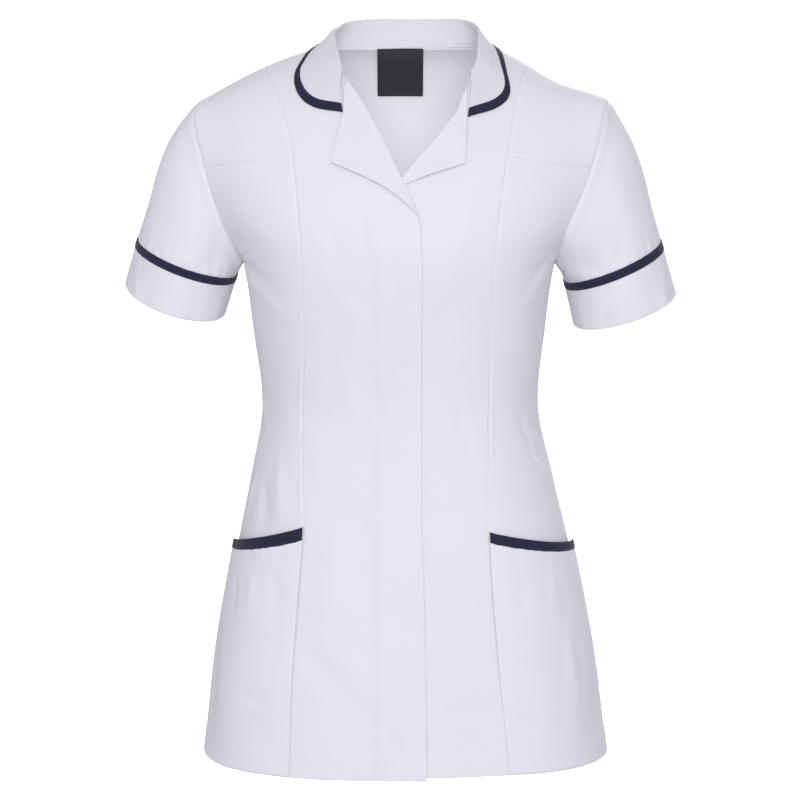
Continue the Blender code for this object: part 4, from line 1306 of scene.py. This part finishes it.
def stitch_piece(colour, finish):
    """All the stitches of one thread as one mesh of short raised dashes."""
    first, last, up = (np.array(values) for values in zip(*stitches[colour]))
    aside = unit(np.cross(last - first, up))
    rings = []
    for share, width, height in DASH:
        middle = first + (last - first) * share
        for sideways, lifted in ((-1, -0.5), (-0.7, height), (0.7, height), (1, -0.5)):
            rings.append(middle + STITCH_HALF * (sideways * width * aside + lifted * up))
    points = np.stack(rings, axis=1)
    faces = [(0, 1, 2, 3)[::-1], (12, 13, 14, 15)]
    for ring in range(len(DASH) - 1):
        for corner in range(3):
            start = 4 * ring + corner
            faces.append((start, start + 1, start + 5, start + 4))
    every = (np.arange(len(points))[:, None, None] * points.shape[1] + np.array(faces)[None]).reshape(-1, 4)
    mesh = bpy.data.meshes.new(f"{colour}_stitches")
    mesh.from_pydata(points.reshape(-1, 3), [], every.tolist())
    mesh.shade_smooth()
    mesh.materials.append(finish.material)
    piece = placed(f"{colour}_stitches", mesh)
    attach(piece, "root")


def sheet_area(points):
    """Area of a grid of points."""
    sides = points[1:, :-1] - points[:-1, :-1], points[:-1, 1:] - points[:-1, :-1]
    other = points[1:, :-1] - points[1:, 1:], points[:-1, 1:] - points[1:, 1:]
    halves = [np.linalg.norm(np.cross(*pair), axis=2).sum() / 2 for pair in (sides, other)]
    return float(sum(halves))


def declare_sheets():
    """Works out each piece of cloth's flat width, length and area that its folds take up, and leaves them unused."""
    for piece, points, cut, rests_on in SHEETS:
        across, _, upward, _ = edge_runs(points)
        width, length = cut or (float(across[:, -1].max()), float(upward[-1].max()))
        if length < TAPE_CUT:
            continue
        area = min(sheet_area(points), width * length)


# Camera, light and surroundings. Powers are in watts
CAMERA_PLACE = (-0.00475, -2.28740, -0.08984)
CAMERA_TILT = math.radians(84)
CAMERA_LENS = 108.947
SENSOR = 36.0
FLOOR_HEIGHT = -1.15
BACKDROP_RADIUS = 25.0
STUDIO_GLOW = 1.1
WORLD_LIGHT = 0.55
FRONT_POWER = 61
TOP_POWER = 3
BACK_POWER = 62
INSIDE_POWER = 0.085


def camera():
    data = bpy.data.cameras.new("camera")
    data.lens, data.sensor_width = CAMERA_LENS, SENSOR
    holder = placed("camera", data, CAMERA_PLACE)
    holder.rotation_euler = (CAMERA_TILT, 0, 0)
    bpy.context.scene.camera = holder


def soft_light(name, spot, size, power, aim=(0.0, 0.0, -0.30)):
    data = bpy.data.lights.new(name, "AREA")
    data.shape, data.size, data.energy = "DISK", size, power
    data.color = (1.0, 0.99, 0.98)
    holder = placed(name, data, spot)
    holder.rotation_euler = (Vector(aim) - Vector(spot)).to_track_quat("-Z", "Y").to_euler()
    holder.visible_camera = False


def glowing(name, mesh, spot=(0, 0, 0)):
    """A pale surface of the studio that the camera sees, and that throws no light of its own on the cloth."""
    material = bpy.data.materials.new(name)
    material.use_nodes = True
    shader = material.node_tree.nodes["Principled BSDF"]
    shader.inputs["Base Color"].default_value = (0.8, 0.8, 0.8, 1)
    shader.inputs["Roughness"].default_value = 0.9
    shader.inputs["Emission Color"].default_value = (1, 1, 1, 1)
    shader.inputs["Emission Strength"].default_value = STUDIO_GLOW
    mesh.materials.append(material)
    surface = placed(name, mesh, spot)
    surface.visible_diffuse = surface.visible_glossy = surface.visible_shadow = False


def round_mesh(name, make, **fineness):
    mesh = bpy.data.meshes.new(name)
    shape = bmesh.new()
    make(shape, radius=BACKDROP_RADIUS, **fineness)
    shape.to_mesh(mesh)
    shape.free()
    return mesh


def studio():
    floor = round_mesh("floor", bmesh.ops.create_circle, cap_ends=True, segments=64)
    glowing("floor", floor, (0, 0, FLOOR_HEIGHT))
    glowing("backdrop", round_mesh("backdrop", bmesh.ops.create_uvsphere, u_segments=48, v_segments=24))
    world = bpy.data.worlds.new("studio")
    world.use_nodes = True
    background = world.node_tree.nodes["Background"]
    background.inputs["Color"].default_value = (0.955, 0.970, 1.06, 1)
    background.inputs["Strength"].default_value = WORLD_LIGHT
    bpy.context.scene.world = world
    bpy.context.scene.view_settings.view_transform = "Standard"
    soft_light("front_light", (0.0, -3.4, 0.5), 1.8, FRONT_POWER)
    soft_light("top_light", (0.0, -1.2, 2.6), 2.0, TOP_POWER)
    soft_light("back_light", (0.9, 3.2, 1.2), 1.4, BACK_POWER)
    soft_light("inside_light", (0.0, -0.045, -0.15), 0.10, INSIDE_POWER, (0.0, 0.09, -0.06))


def main():
    camera()
    studio()
    for side in SIDES:
        centre_front(side)
        side_front(side)
        yoke(side)
        lapel(side)
        sleeve(side)
        sleeve_band(side)
        cuff(side)
        pocket(side)
    back()
    collar()
    neck_label()
    stitch_piece("white", WHITE_THREAD)
    stitch_piece("navy", NAVY_THREAD)
    declare_sheets()


main()
